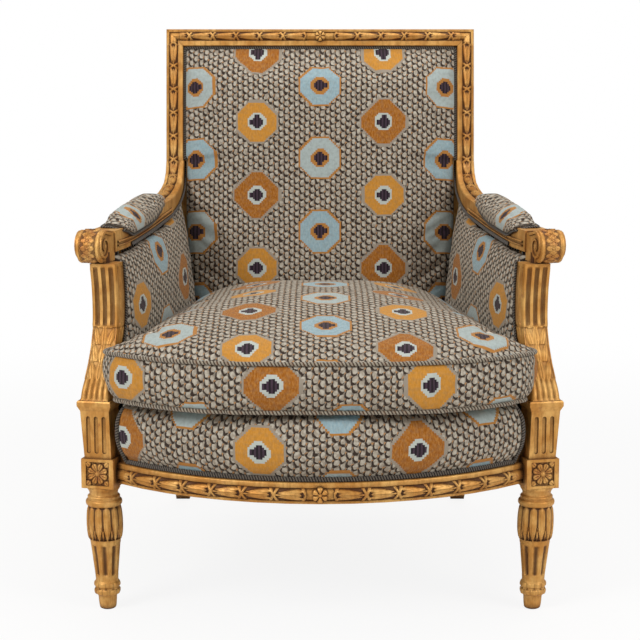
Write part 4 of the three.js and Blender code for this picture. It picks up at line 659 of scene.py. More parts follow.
# carved strips: height and shade of a leaf bundle tied with crossed ribbons, S along, T across
def leafBundle(s, t):
    high = 0
    for offset, start, end, wide, rise in ((0, 0.14, 1.02, 0.36, 1.0), (0.6, 0.08, 0.9, 0.36, 0.8),
                                           (-0.6, 0.08, 0.9, 0.36, 0.8)):
        a = (s - start) / (end - start)
        if 0 < a < 1:
            half = wide * sin(pi * a ** 0.6) ** 0.8 + 1e-4
            d = (t - offset * (1 - 0.5 * a)) / half
            if abs(d) < 1:
                high = max(high, rise * veined(d, 0.3, 0.14))
    e = s if s < 0.5 else s - 1
    for slant in (1, -1):
        d = (e - slant * t * 0.11) / 0.052
        if abs(d) < 1:
            high = max(high, (1 - d * d) ** 0.4 - 0.25 * math.exp(-(d / 0.25) ** 2))
    return high


bandLook = {"proud": 0.004, "step": 0.0009, "rows": 22, "sunk": 0.002, "shade": 0.9, "ground": 0.06}


def domeOf(t):
    return bandLook["proud"] * (-0.5 + 1.5 * (1 - t * t) ** 0.9)


# a band of carving laid over a moulding; place gives the point, the way across and the way out
def carveBand(name, place, length, look, shape=leafBundle, fade=None):
    form = gridForm(max(8, int(length / bandLook["step"])), bandLook["rows"])
    relief = form.verts.layers.float.new("relief")
    ground = look.get("ground", bandLook["ground"])
    for v in form.verts:
        share, t = v.co.x + 0.5, v.co.y * 2
        at, across, out = place(share)
        high = shape(share * length / look["unit"] % 1, t * 1.04)
        edge = smooth(1.0, 0.9, abs(t))
        thin = fade(share) if fade else 1
        dome = look["flat"] if "flat" in look else domeOf(t)
        carved = (max(0.04, high) * edge - (1 - edge) * 0.5) * look["rise"]
        v.co = at + across * (t * look["half"]) + out * ((dome + carved) * thin - (1 - thin) * bandLook["sunk"])
        v[relief] = ground + (bandLook["shade"] - ground) * max(0, high)
    bmesh.ops.recalc_face_normals(form, faces=form.faces)
    at, across, out = place(0.5)
    middle = min(form.faces, key=lambda f: (f.calc_center_median() - at).length)
    if middle.normal.dot(out) < 0:
        bmesh.ops.reverse_faces(form, faces=form.faces)
    return keep(name, form, "carvedGilt", angle=180)


crestLook = {"half": 0.0084, "unit": 0.0436, "rise": 0.0036, "across": 0.43, "gap": 0.026, "corner": 0.012}
bandIn = chair["moulding"] * crestLook["across"]
crestEnd = chair["halfWidth"] - bandIn - crestLook["corner"]
stileEnd = backUp - bandIn - crestLook["corner"]


def crestPlace(side):
    def place(share):
        return backPoint(mix(crestLook["gap"], crestEnd, share) * side, 0, backUp - bandIn), backRise, backFront
    return place


def stilePlace(share):
    at = backPoint(chair["halfWidth"] - bandIn, 0, mix(stileEnd, backJoint, share))
    return at, Vector((1, 0, 0)), backFront


for side, word in ((1, "right"), (-1, "left")):
    carveBand("crest_leaves_" + word, crestPlace(side), crestEnd - crestLook["gap"], crestLook)
mirrored(carveBand("stile_leaves_right", stilePlace, stileEnd - backJoint, crestLook))

railLook = {"half": 0.0098, "unit": 0.0478, "rise": 0.0042, "middle": 0.2166, "gap": 0.02, "end": 0.733}


def railPlace(side):
    def place(share):
        turn = mix(railLook["gap"] / chair["bowRadius"], railLook["end"], share) * side
        return bowPoint(turn, 0, railLook["middle"]), Vector((0, 0, 1)), Vector((sin(turn), -cos(turn), 0))
    return place


railLong = railLook["end"] * chair["bowRadius"] - railLook["gap"]
for side, word in ((1, "right"), (-1, "left")):
    carveBand("rail_leaves_" + word, railPlace(side), railLong, railLook)


print("stage: arms, posts and scrolls")
armLook = {
    "scroll": (0.3505, 0.042, 0.562), "radius": 0.0255, "startWide": 0.033, "wide": 0.043,
    "startDeep": 0.024, "deep": 0.033, "blockBack": 0.048, "padFrom": 0.36, "padTo": 0.93,
    "leafFrom": 0.002, "leafTo": 0.375, "leafWide": 1.1,
    "out": [0, 0.007, 0.02, 0.086, 0.207, 0.408, 0.622, 0.823, 1],
    "forward": [0, 0.012, 0.048, 0.121, 0.251, 0.432, 0.667, 0.884, 1],
    "down": [0, 0.225, 0.455, 0.654, 0.79, 0.874, 0.948, 0.99, 1],
}
legAcross = legTurn @ Vector((1, 0, 0))
scrollX, scrollY, scrollZ = armLook["scroll"]
scrollPlace = Matrix.Translation((scrollX, scrollY + chair["centreY"], scrollZ)) @ legTurn
armFrom = backPoint(chair["halfWidth"] - armLook["startWide"] / 2, armLook["startDeep"] / 2, backJoint - 0.0003)
armTo = scrollPlace @ Vector((0, armLook["blockBack"] - 0.003, armLook["deep"] / 2 - armLook["radius"] / 2))
armLine = Line([Vector([*map(mix, armFrom, armTo, shares)])
                for shares in zip(armLook["out"], armLook["forward"], armLook["down"])], fine=40)


# the arm's section at a share of its length: middle, way across, way up, half width and half depth
def armSection(share):
    at = armLine.at(share)
    forward = (armFrom.y - at.y) / (armFrom.y - armTo.y)
    turn = chair["turn"] * forward
    across = Vector((cos(turn), sin(turn), 0))
    up = armLine.along(share).cross(across).normalized()
    wide = mix(armLook["startWide"], armLook["wide"], min(1, forward * 2))
    deep = mix(armLook["startDeep"], armLook["deep"], min(1, forward * 3))
    return at, across, up, wide / 2, deep / 2


def armLeafPlace(share):
    at, across, up, half, deep = armSection(mix(armLook["leafFrom"], armLook["leafTo"], share))
    return at + across * (half - 2 * half * crestLook["across"]) + up * deep, across, up


armLeafLong = armLine.length * (armLook["leafTo"] - armLook["leafFrom"])
mirrored(carveBand("arm_leaves_right", armLeafPlace, armLeafLong,
                   dict(crestLook, half=crestLook["half"] * armLook["leafWide"]),
                   fade=lambda share: 1 - smooth(0.86, 1.0, share) * 0.9))


# arm post: three flutes above, husk leaves and reeds where it sweeps forward
postLook = {
    "up": [0, 0.06, 0.16, 0.27, 0.4, 0.58, 0.8, 1], "back": [0, 0.05, 0.27, 0.51, 0.77, 0.98, 1, 0.9],
    "narrow": [0, 0.25, 0.65, 0.95, 1, 1, 0.8, 0.4], "setBack": 0.057, "base": 0.047, "waist": 0.041, "top": 0.043,
    "depth": 0.038, "foot": 0.3323, "head": 0.5357, "lean": 0.004, "inward": 0.014, "rows": 150, "around": 150,
    "flute": 0.0036, "fluteFrom": 0.437, "fluteTo": 0.532, "reedTo": 0.363, "husk": 0.0245, "rise": 0.0022,
    "front": 0.56, "round": 0.0013, "dowel": 0.005, "dowelLong": 0.0316,
}
postBack = Line([Vector((u, b, 0)) for u, b in zip(postLook["up"], postLook["back"])], fine=10)


def postSection(z):
    up = (z - postLook["foot"]) / (postLook["head"] - postLook["foot"])
    narrow = between(postLook["up"], postLook["narrow"], up)
    wide = mix(mix(postLook["base"], postLook["top"], up), postLook["waist"], narrow)
    deep = mix(postLook["base"], postLook["depth"], min(1, up * 4))
    behind = postLook["setBack"] * between([q.x for q in postBack.points], [q.y for q in postBack.points], up)
    return mix(postLook["lean"], postLook["inward"] / 2, up), behind, wide, deep


# a husk: three pointed lobes that spread from the foot of the next one
def huskLeaf(s, t):
    high = 0.1
    for offset, end, wide, rise in ((0, 1.15, 0.42, 1), (0.62, 0.98, 0.4, 0.86), (-0.62, 0.98, 0.4, 0.86)):
        a = s / end
        if a < 1:
            half = wide * (1 - a) ** 0.5 * min(1, 0.55 + a)
            d = (t - offset * (0.7 + 0.5 * a)) / max(half, 1e-3)
            if abs(d) < 1:
                high = max(high, rise * veined(d, 0.4, 0.16))
    return high


# height over the post's face, and its shade; T runs across from -1 to 1
def postRelief(t, z, flutes):
    if z > postLook["fluteFrom"]:
        fluted = smooth(postLook["fluteFrom"], postLook["fluteFrom"] + 0.005, z)
        fluted *= smooth(postLook["fluteTo"], postLook["fluteTo"] - 0.005, z)
        turn = (t * flutes / 1.9 + 0.5 * (flutes % 2)) % 1
        d = abs(turn - 0.5) / 0.3
        if d < 1 and abs(t) < 0.95:
            hollow = (1 - d * d) ** 0.5 * fluted
            return -postLook["flute"] * hollow, 0.8 - 0.5 * hollow
        return 0.0004 * fluted, 0.84
    if z < postLook["reedTo"]:
        wave = abs(cos(t * pi * 2.5)) ** 0.7
        fade = smooth(postLook["foot"], postLook["foot"] + 0.004, z)
        return (wave - 1) * postLook["rise"] * fade, 0.3 + 0.6 * wave
    s = (z - postLook["reedTo"]) / postLook["husk"]
    high = max(huskLeaf(s % 1, t), huskLeaf(s % 1 + 1, t))
    if abs(t) > 0.93:
        high = 0.6
    return (high - 0.8) * postLook["rise"], 0.3 + 0.56 * high


def carvedPost():
    form = gridForm(postLook["around"], postLook["rows"])
    relief = form.verts.layers.float.new("relief")
    front, corner = postLook["front"], postLook["round"]
    rest = (1 - front) / 3
    for v in form.verts:
        p, z = v.co.x + 0.5, mix(postLook["foot"], postLook["head"], v.co.y + 0.5)
        out, behind, wide, deep = postSection(z)
        side = 0 if p < front or p >= 1 else 1 + min(2, int((p - front) / rest))
        share = p / front if side == 0 else (p - front - (side - 1) * rest) / rest
        t = (share if p < 1 else 0) * 2 - 1
        across, away = (wide, deep) if side in (0, 2) else (deep, wide)
        high, show = postRelief(t, z, 3 if side in (0, 2) else 2) if side != 2 else (0, 0.6)
        flat = Vector((t * (across / 2 - corner), -away / 2 - high, 0))
        turned = Matrix.Rotation(side * pi / 2, 3, "Z") @ flat
        v.co = legPoint(out + turned.x, behind + turned.y, z)
        v[relief] = show
    bmesh.ops.remove_doubles(form, verts=form.verts, dist=1e-6)
    for z in (postLook["foot"], postLook["head"]):
        out, behind, wide, deep = postSection(z)
        bmesh.ops.create_cone(form, cap_ends=True, segments=16, depth=postLook["dowelLong"],
                              radius1=postLook["dowel"], radius2=postLook["dowel"],
                              matrix=Matrix.Translation(legPoint(out, behind, z)))
    return keep("carved_post_right", closed(form), "carvedGilt", angle=48)


pairFor(carvedPost(), "arm_post")


# a carved tile: a flower of eight petals with a leaf in each corner
tileLook = {"half": 0.0182, "rise": 0.0052, "cells": 76, "petals": 8}


def tileHeight(x, y):
    out = math.hypot(x, y)
    around = math.atan2(y, x)
    turn = abs((around * tileLook["petals"] / (2 * pi)) % 1 - 0.5) * 2
    reach = 0.97 - 0.2 * turn ** 2
    petal = 0
    if 0.22 < out < reach:
        a = (out - 0.22) / (reach - 0.22)
        petal = (1 - turn ** 6) * (0.55 + 0.4 * a) * (1 - a ** 8) * (1 - 0.3 * math.exp(-(turn / 0.15) ** 2))
    eye = 1.1 * max(0, 1 - (out / 0.27) ** 2) ** 0.5
    ax, ay = abs(x), abs(y)
    along, beside = (ax + ay) / 2 ** 0.5, (ax - ay) / 2 ** 0.5
    a = (along - 0.92) / 0.46
    leaf = 0
    if 0 < a < 1:
        half = 0.3 * sin(pi * a ** 0.8) ** 0.7
        if abs(beside) < half:
            leaf = 0.75 * ((1 - (beside / half) ** 2) ** 0.5 - 0.3 * math.exp(-(beside / 0.035) ** 2))
    return max(petal, eye, leaf)


def carvedTile(name, place):
    form = gridForm(tileLook["cells"], tileLook["cells"], size=1)
    relief = form.verts.layers.float.new("relief")
    for v in form.verts:
        high = tileHeight(v.co.x, v.co.y)
        v[relief] = 0.04 + 0.86 * high
        v.co = Vector((v.co.x * tileLook["half"], v.co.y * tileLook["half"], high * tileLook["rise"]))
    bmesh.ops.transform(form, matrix=place, verts=form.verts)
    return keep(name, form, "carvedGilt", angle=180)


# roundels round the front of the scroll's drum, with small leaves between
drumLook = {
    "radius": 0.0242, "half": 0.0124, "unit": 0.0121, "coin": 0.006, "from": 112, "to": -82, "rise": 0.0019,
    "flat": 0.0002, "ground": 0.2,
}


def drumPlace(share):
    turn = radians(mix(drumLook["from"], drumLook["to"], share))
    out = Vector((0, -cos(turn), sin(turn)))
    return scrollPlace @ (out * drumLook["radius"]), legAcross, legTurn @ out


def coinBand(s, t):
    x, y = (s - 0.5) * drumLook["unit"], t * drumLook["half"]
    r = math.hypot(x, y) / drumLook["coin"]
    if r < 1:
        return 0.95 if r > 0.78 else 0.3 if r > 0.66 else 0.35 + 0.55 * (1 - (r / 0.66) ** 2) ** 0.5
    a = (abs(t) - 0.2) / 0.74
    half = 0.36 * sin(pi * min(1, max(0, a)) ** 0.7) ** 0.7
    d = min(s, 1 - s) / max(half, 1e-3)
    if 0 < a < 1 and d < 1:
        return 0.8 * veined(d, 0.3, 0.2)
    return 0


drumLong = drumLook["radius"] * radians(drumLook["from"] - drumLook["to"])
mirrored(carveBand("scroll_roundels_right", drumPlace, drumLong, drumLook, shape=coinBand))


# leaves over the arm's flat top between scroll and pad
capLook = {
    "back": 0.05, "high": 0.0241, "middle": 0.0193, "low": 0.0174, "half": 0.0135, "unit": 0.0262, "rise": 0.0034,
    "flat": 0.0002, "ground": 0.3,
}


def capPlace(share):
    a, b, c = capLook["high"], capLook["middle"], capLook["low"]
    y = share * capLook["back"]
    z = a * (1 - share) ** 2 + 2 * b * share * (1 - share) + c * share ** 2
    slope = (2 * (b - a) * (1 - share) + 2 * (c - b) * share) / capLook["back"]
    out = Vector((0, -slope, 1)).normalized()
    return scrollPlace @ Vector((0, y, z)), legAcross, legTurn @ out


mirrored(carveBand("arm_cap_leaves_right", capPlace, capLook["back"], capLook))


# two raised fillets along the arm's inner side
filletLook = {"from": 0.3, "to": 0.985, "unit": 1, "rise": 0.0016, "flat": 0.0014, "ground": 0.4}


def filletPlace(high):
    def place(share):
        at, across, up, half, deep = armSection(mix(filletLook["from"], filletLook["to"], share))
        return at - across * half + up * high, up, -across
    return place


for word, high, half in (("upper", -0.0018, 0.0018), ("lower", -0.0078, 0.0014)):
    filletLong = armLine.length * (filletLook["to"] - filletLook["from"])
    mirrored(carveBand("arm_fillet_" + word + "_right", filletPlace(high), filletLong, dict(filletLook, half=half),
                       shape=lambda s, t: 1 - t * t))


# a petalled flower on a flat place
def flower(name, place, look):
    form = bmesh.new()
    bmesh.ops.create_circle(form, cap_ends=False, segments=look["petals"] * 12, radius=1)
    edges = form.edges[:]
    for k in range(1, look["rings"]):
        made = bmesh.ops.extrude_edge_only(form, edges=edges)["geom"]
        verts = [v for v in made if isinstance(v, bmesh.types.BMVert)]
        share = (look["rings"] - k) / look["rings"]
        for v in verts:
            v.co = v.co.normalized() * share
        edges = [e for e in made if isinstance(e, bmesh.types.BMEdge)]
    bmesh.ops.holes_fill(form, edges=[e for e in openEdges(form) if e.verts[0].co.length < 0.5], sides=0)
    relief = form.verts.layers.float.new("relief")
    for v in form.verts:
        out = v.co.length
        angle = math.atan2(v.co.y, v.co.x)
        turn = abs(angle * look["petals"] / (2 * pi) % 1 - 0.5) * 2
        edge = look["radius"] * (1 - 0.2 * turn ** 3)
        petal = (1 - turn ** 4) * sin(pi * min(1, max(0, (out - 0.16) / 0.84)) ** 0.8) ** 0.6
        eye = max(0, 1 - (out / 0.24) ** 2) ** 0.5
        high = max(petal * 0.8, eye) - (0.5 if out > 0.97 else 0)
        v.co = Vector((cos(angle) * out * edge, sin(angle) * out * edge, high * look["rise"]))
        v[relief] = 0.12 + 0.8 * max(0, high)
    bmesh.ops.recalc_face_normals(form, faces=form.faces)
    if sum(f.normal.z for f in form.faces) < 0:
        bmesh.ops.reverse_faces(form, faces=form.faces)
    bmesh.ops.transform(form, matrix=place, verts=form.verts)
    return keep(name, form, "carvedGilt", angle=180)


blockLook = {"low": 0.196, "high": 0.242, "face": 0.0226}
facing = Matrix.Rotation(radians(90), 4, "X")
middle = (blockLook["low"] + blockLook["high"]) / 2
front = legPlace @ Matrix.Translation((0, -blockLook["face"], middle)) @ facing
beside = legPlace @ Matrix.Translation((blockLook["face"], 0, middle)) @ Matrix.Rotation(radians(90), 4, "Z") @ facing
mirrored(carvedTile("block_flower_right", front))
mirrored(carvedTile("block_side_flower_right", beside))
flowerLook = {"petals": 6, "rings": 12, "proud": 0.0035}
crestAt = backPoint(0, -flowerLook["proud"], backUp - bandIn)
crestTurn = Matrix.Translation(crestAt) @ backFront.to_track_quat("Z", "Y").to_matrix().to_4x4()
flower("crest_flower", crestTurn, dict(flowerLook, radius=0.0105, rise=0.0046))
railAt = Matrix.Translation(bowPoint(0, -flowerLook["proud"], railLook["middle"])) @ facing
flower("rail_flower", railAt, dict(flowerLook, radius=0.0128, rise=0.0052))


print("stage: padded forms")
deckLook = {
    "low": 0.2346, "top": 0.332, "forward": 0.0191, "ledge": 0.0081, "end": 0.757, "rows": 34, "columns": 110,
    "backRows": 14, "rearX": 0.2265, "rearY": 0.2865, "thick": 0.0016, "fold": 0.3315, "fill": 0.9,
    "up": [0, 0.07, 0.16, 0.32, 0.5, 0.68, 0.84, 0.95, 1], "out": [0, 0, 0.42, 0.84, 1, 0.92, 0.6, 0, -0.8],
}


# swell a padded form with cloth pressure; held gives how firmly each point stays
def billow(piece, held, look):
    rest = [v.co.copy() for v in piece.data.vertices]
    firm = piece.vertex_groups.new(name="held")
    for v in piece.data.vertices:
        weight = held(v.co)
        if weight > 0:
            firm.add([v.index], min(1, weight), "REPLACE")
    swell = piece.modifiers.new("swell", "CLOTH")
    cloth = swell.settings
    cloth.quality = 4
    cloth.mass = 0.2
    cloth.tension_stiffness = look.get("stiff", 12)
    cloth.compression_stiffness = look.get("stiff", 12)
    cloth.shear_stiffness = 6
    cloth.bending_stiffness = look.get("bend", 0.4)
    cloth.use_pressure = True
    cloth.uniform_pressure_force = look["pressure"]
    cloth.vertex_group_mass = "held"
    cloth.effector_weights.gravity = 0
    cloth.shrink_min = -look.get("spare", 0.02)
    swell.collision_settings.use_collision = False
    swell.collision_settings.use_self_collision = False
    swell.point_cache.frame_start = 1
    swell.point_cache.frame_end = look["frames"]
    for moment in range(1, look["frames"] + 1):
        scene.frame_set(moment)
    result = piece.evaluated_get(bpy.context.evaluated_depsgraph_get()).to_mesh()
    swelled = [v.co.copy() for v in result.vertices]
    piece.modifiers.clear()
    piece.vertex_groups.clear()
    for v, old, new in zip(piece.data.vertices, rest, swelled):
        move = new - old
        if move.length > look["cap"]:
            move *= look["cap"] / move.length
        v.co = old + move
    scene.frame_set(1)


# an even net of small squares over a form, calmed a little
def remeshed(form, voxel):
    shell = linked("shell", form)
    even = shell.modifiers.new("even", "REMESH")
    even.mode = "VOXEL"
    even.voxel_size = voxel
    made = formOf(shell.evaluated_get(bpy.context.evaluated_depsgraph_get()).to_mesh())
    bpy.data.objects.remove(shell)
    for _ in range(6):
        bmesh.ops.smooth_vert(made, verts=made.verts, factor=0.5, use_axis_x=True, use_axis_y=True, use_axis_z=True)
    return made


# the cloth's pattern is laid on in metres; lay gives U and V from a point and its face's middle
def layCloth(piece, lay, rest=None):
    mesh = piece.data
    uv = mesh.uv_layers.new(name="cloth")
    places = rest or [v.co.copy() for v in mesh.vertices]
    for face in mesh.polygons:
        centre = sum((places[i] for i in face.vertices), Vector()) / len(face.vertices)
        for loop in face.loop_indices:
            uv.data[loop].uv = lay(places[mesh.loops[loop].vertex_index], centre)


# a padded form grown from its solid; base names another solid to grow it from
def puff(node, name, look, held, lay, shape=None, body="frame", base=None):
    form = remeshed(cadShell(base or node), look["voxel"])
    if shape:
        for v in form.verts:
            v.co = shape(v.co)
    form.normal_update()
    for v in form.verts:
        v.co += v.normal * (look.get("grow", 0) - look["shrink"] * (1 - min(1, held(v.co))))
    piece = keep(name, form, "upholstery", body=body, angle=180)
    rest = [v.co.copy() for v in piece.data.vertices]
    billow(piece, held, look)
    layCloth(piece, lay, rest)
    return finer(softFor(piece, node))


# loose seat cushion, its front pushed out by the filling
cushionLook = {
    "voxel": 0.0075, "pressure": 4, "frames": 18, "cap": 0.008, "grow": 0.0032, "shrink": 0.001, "spare": 0.03,
    "low": 0.3357, "top": 0.411, "fill": 0.85, "frontY": -0.42, "cornerX": 0.33, "cornerY": -0.318, "backY": 0.267,
    "seamGrip": 0.0045, "stiff": 10, "bend": 0.2, "push": 0.006, "patternX": 0.049, "patternY": 0.118,
    "sideFront": 0.299, "sideBack": 0.22, "sideFrom": -0.263, "sideLong": 0.53, "earBack": -0.27, "ear": 0.326,
    "turnY": -0.29, "turnFrom": 0.295, "turnTo": 0.328, "bandLift": 0.022,
}


def cushionFront(x):
    bow = cushionLook["frontY"] - cushionLook["cornerY"]
    return cushionLook["cornerY"] + bow * (1 - min(1, abs(x) / cushionLook["cornerX"]) ** 3.4)


def cushionEdge(co):
    look = cushionLook
    side = mix(look["sideFront"], look["sideBack"], (co.y - look["sideFrom"]) / look["sideLong"])
    if co.y <= look["earBack"]:
        side = look["ear"]
    return min(abs(side - abs(co.x)), abs(co.y - cushionFront(co.x)), abs(cushionLook["backY"] - co.y))


def cushionHeld(co):
    near = min(abs(co.z - cushionLook["low"]), abs(co.z - cushionLook["top"]))
    if near < cushionLook["seamGrip"] and cushionEdge(co) < 0.02:
        return 1
    return 0.6 if co.z < cushionLook["low"] - 0.001 else 0


def cushionShape(co):
    near = 1 - smooth(0, 0.11, co.y - cushionFront(co.x))
    return Vector((co.x, co.y - cushionLook["push"] * near * (1 - (co.x / 0.36) ** 2), co.z))


def cushionLay(point, centre):
    if centre.z > cushionLook["top"] + 0.0005:
        return point.x + cushionLook["patternX"], point.y + cushionLook["patternY"]
    if centre.z < cushionLook["low"] - 0.001:
        return point.x, point.y
    way = 1 if point.x > 0 else -1
    if point.y < cushionLook["turnY"]:
        corner = smooth(cushionLook["turnFrom"], cushionLook["turnTo"], abs(point.x)) * (point.y + 0.36) * way
        return point.x + 0.364 * point.x ** 3 + corner + 0.012, point.z + cushionLook["bandLift"]
    return point.y * way + 0.5, point.z + cushionLook["bandLift"]


cushion = puff("cushion_cover", "seat_cushion", cushionLook, cushionHeld, cushionLay, shape=cushionShape,
               body="cushion", base="cushion_core")

# its feathers, in their own bag inside the cover
feathers = remeshed(cadShell("cushion_core"), cushionLook["voxel"])
bag = keep("cushion_filling", feathers, "filling", body="cushion", angle=180)
softFor(bag, "cushion_core")

# stuffed inside back, one grid with its edges tucked under the braid
backLook = {
    "pressure": 3, "frames": 14, "cap": 0.006, "spare": 0.02, "columns": 110, "rows": 124, "low": 0.1093,
    "swell": 0.046, "edge": 0.2552, "lowEdge": 0.226, "bendIn": 0.0086, "tuck": 0.012, "lean": 1.3, "behind": 0.0016,
    "hem": 0.0015, "grip": 0.012, "fill": 0.9, "stiff": 12, "bend": 0.3, "patternX": 0.058, "patternUp": 0.043,
}


def backHalf(up):
    bend = backJoint + 0.005
    if up >= bend:
        return backLook["edge"]
    share = max(0, (up - backLook["low"]) / (bend - backLook["low"]))
    edge = mix(backLook["lowEdge"], backLook["edge"] - backLook["bendIn"], share ** backLook["lean"])
    return edge + backLook["tuck"] * sin(pi * share) ** 0.8


def backCrown(u, v):
    across = 1 - min(1, abs(u) / 0.985) ** 6
    head = 1 - min(1, max(0, v * 2 - 1) / 0.985) ** 8
    foot = 1 - min(1, max(0, 1 - v * 2) / 0.985) ** 8
    return max(0, across) ** 0.8 * max(0, head) ** 0.8 * max(0, foot) ** 0.8


form = gridForm(backLook["columns"], backLook["rows"], size=1)
backHead = backUp - chair["moulding"] - 0.0003
for v in form.verts:
    u, share = v.co.x, (v.co.y + 1) / 2
    up = mix(backLook["low"], backHead, share)
    behind = chair["rebateDepth"] - 0.0003 - backLook["behind"] - backLook["swell"] * backCrown(u, share)
    v.co = backPoint(u * backHalf(up), behind, up)
made = bmesh.ops.extrude_edge_only(form, edges=openEdges(form))["geom"]
hem = [v for v in made if isinstance(v, bmesh.types.BMVert)]
bmesh.ops.translate(form, vec=-backFront * backLook["hem"], verts=hem)
back = keep("inside_back", closed(form), "upholstery", angle=180)
rest = [v.co.copy() for v in back.data.vertices]


def backOut(co):
    return chair["rebateDepth"] + (co - backPoint(0, 0, 0)).dot(backFront)


def backLay(point, centre):
    return point.x + backLook["patternX"], (point - backPoint(0, 0, 0)).dot(backRise) + backLook["patternUp"]


billow(back, lambda co: 1 if backOut(co) < backLook["grip"] else 0, backLook)
layCloth(back, backLay, rest)
softFor(back, "back_pad")

# stuffed inside arms and armrest pads
innerArmLook = {
    "voxel": 0.006, "pressure": 4, "frames": 12, "cap": 0.006, "shrink": 0.0004, "spare": 0.03, "fill": 0.8,
    "from": -0.235, "to": 0.262, "low": 0.36,
}
restLook = {
    "rows": 120, "around": 56, "top": 0.62, "high": 0.0272, "over": 0.0052, "drop": 0.0155, "edge": 0.0042,
    "under": 0.0007, "full": 0.0022, "grip": 0.006, "girth": 0.082, "patternAlong": 0.043, "patternRound": 0.012,
    "pressure": 4, "frames": 12, "cap": 0.003, "spare": 0.02, "fill": 0.85,
}


def innerArmHeld(co):
    return 0 if innerArmLook["from"] < co.y < innerArmLook["to"] and co.z > innerArmLook["low"] else 1


def armShareAt(y):
    low, high = 0.0, 1.0
    for _ in range(24):
        middle = (low + high) / 2
        if armLine.at(middle).y > y:
            low = middle
        else:
            high = middle
    return low


# how far the armrest's cloth comes down over the arm's inner edge, from its back end to the scroll
def restDrop(share):
    return restLook["drop"] * smooth(0.0, 0.5, share) * (1 - 0.75 * smooth(0.84, 1.0, share))


# armrest pad: a full roll over the arm's top, its foot on the arm outside and down the arm's face inside
def restPad():
    form = gridForm(restLook["around"], restLook["rows"])
    uv = form.loops.layers.uv.new("cloth")
    long = armLine.length * (armLook["padTo"] - armLook["padFrom"])
    for face in form.faces:
        for loop in face.loops:
            a, k = loop.vert.co.x + 0.5, loop.vert.co.y + 0.5
            loop[uv].uv = (k * long + restLook["patternAlong"],
                           a / restLook["top"] * restLook["girth"] + restLook["patternRound"])
    for v in form.verts:
        a, k = v.co.x + 0.5, v.co.y + 0.5
        at, across, up, half, deep = armSection(mix(armLook["padFrom"], armLook["padTo"], k))
        end = max(0.0, 1 - abs(2 * k - 1) ** 4)
        swell, narrow = max(0.12, end) ** 0.6, max(0.4, end) ** 0.4
        drop, skin = restDrop(k), restLook["under"]
        outer = (half - restLook["edge"]) * narrow
        inner = -half - skin if drop > 0.003 else -(half - restLook["edge"]) * narrow
        if a < restLook["top"]:
            turn = pi * a / restLook["top"]
            side = (1 - squared(cos(turn), 0.75)) / 2
            reach = inner - restLook["over"] * (drop > 0.003)
            x = mix(outer, reach, side) + restLook["full"] * sin(2 * turn) * narrow
            z = mix(skin, -drop, side) + restLook["high"] * swell * sin(turn) ** 0.72
        else:
            t = (a - restLook["top"]) / (1 - restLook["top"])
            first = drop / (drop + outer - inner)
            x = inner if t < first else mix(inner, outer, (t - first) / (1 - first))
            z = mix(-drop, skin, t / first) if t < first else skin
        v.co = at + across * x + up * (deep + z)
    bmesh.ops.remove_doubles(form, verts=form.verts, dist=1e-6)
    piece = keep("armrest_right", closed(form), "upholstery", angle=180)

    def held(co):
        at, across, up, half, deep = armSection(armShareAt(co.y))
        return 1 if (co - at).dot(up) < deep + restLook["grip"] else 0

    billow(piece, held, restLook)
    return softFor(piece, "armrest_pad_right")


innerArm = puff("inside_arm_pad_right", "inside_arm_right", innerArmLook, innerArmHeld,
                lambda point, centre: (point.y * 0.74 + 0.02, point.z + 0.05 + abs(point.x) * 0.1))
armrest = restPad()
softFor(mirrored(innerArm), "inside_arm_pad_left")
softFor(mirrored(armrest), "armrest_pad_left")


# cloth over the seat deck, with its bulging front band
form = gridForm(deckLook["columns"], deckLook["rows"] + deckLook["backRows"])
profile = Line([Vector((out, up, 0)) for up, out in zip(deckLook["up"], deckLook["out"])], fine=8)
last = deckLook["rows"] / (deckLook["rows"] + deckLook["backRows"])
for v in form.verts:
    u, share = v.co.x * 2, v.co.y + 0.5
    row = profile.at(min(1, share / last))
    into = deckLook["ledge"] - deckLook["forward"] * row.x
    v.co = bowPoint(u * deckLook["end"], into, mix(deckLook["low"], deckLook["top"], row.y))
    if share > last:
        rear = Vector((deckLook["rearX"] * u, deckLook["rearY"], deckLook["top"]))
        v.co = v.co.lerp(rear, (share - last) / (1 - last))
deck = keep("seat_deck", form, "upholstery", angle=180)
wall = deck.modifiers.new("wall", "SOLIDIFY")
wall.thickness = deckLook["thick"]
wall.offset = -1


def deckLay(point, centre):
    across = math.atan2(point.x, chair["bowY"] - point.y) * chair["bowRadius"]
    return across + 0.03, point.z - 0.012 if point.z < deckLook["fold"] else point.y + 0.6


layCloth(deck, deckLay)
softFor(deck, "deck_cover")

# the outside arm cloth reaches back to the leaning post, and up to the arm there
panelLook = {
    "x": 0.28, "z": 0.42, "armEnd": 0.362, "gap": 0.0008, "from": 0.2, "edge": 0.283, "low": 0.235, "lean": 0.0768,
    "rise": 0.4, "inward": 0.12, "fill": 0.3,
}


def reachPost(form, word):
    way = 1 if word == "right" else -1
    post = BVHTree.FromBMesh(cadShell("back_post_" + word))
    arm = BVHTree.FromBMesh(cadShell("arm_" + word))
    look = panelLook

    def under(y):
        return arm.ray_cast(Vector((way * look["x"], min(y, look["armEnd"]), look["z"])), Vector((0, 0, 1)))[0].z

    def front(z):
        return post.ray_cast(Vector((way * look["x"], 0, z)), Vector((0, 1, 0)))[0].y - look["gap"]

    for v in form.verts:
        edge = look["edge"] + (v.co.z - look["low"]) * look["lean"]
        share = (v.co.y - look["from"]) / (edge - look["from"])
        if share <= 0:
            continue
        high = min(1, max(0, (v.co.z - look["rise"]) / (under(v.co.y) - look["rise"])))
        y, z = v.co.y, v.co.z
        for _ in range(3):
            y = v.co.y + max(0, front(z) - edge) * share
            z = v.co.z + (under(y) - under(v.co.y)) * high
        v.co = Vector((v.co.x - way * look["inward"] * (y - v.co.y), y, z))


def sideLay(point, centre):
    return point.y, point.z


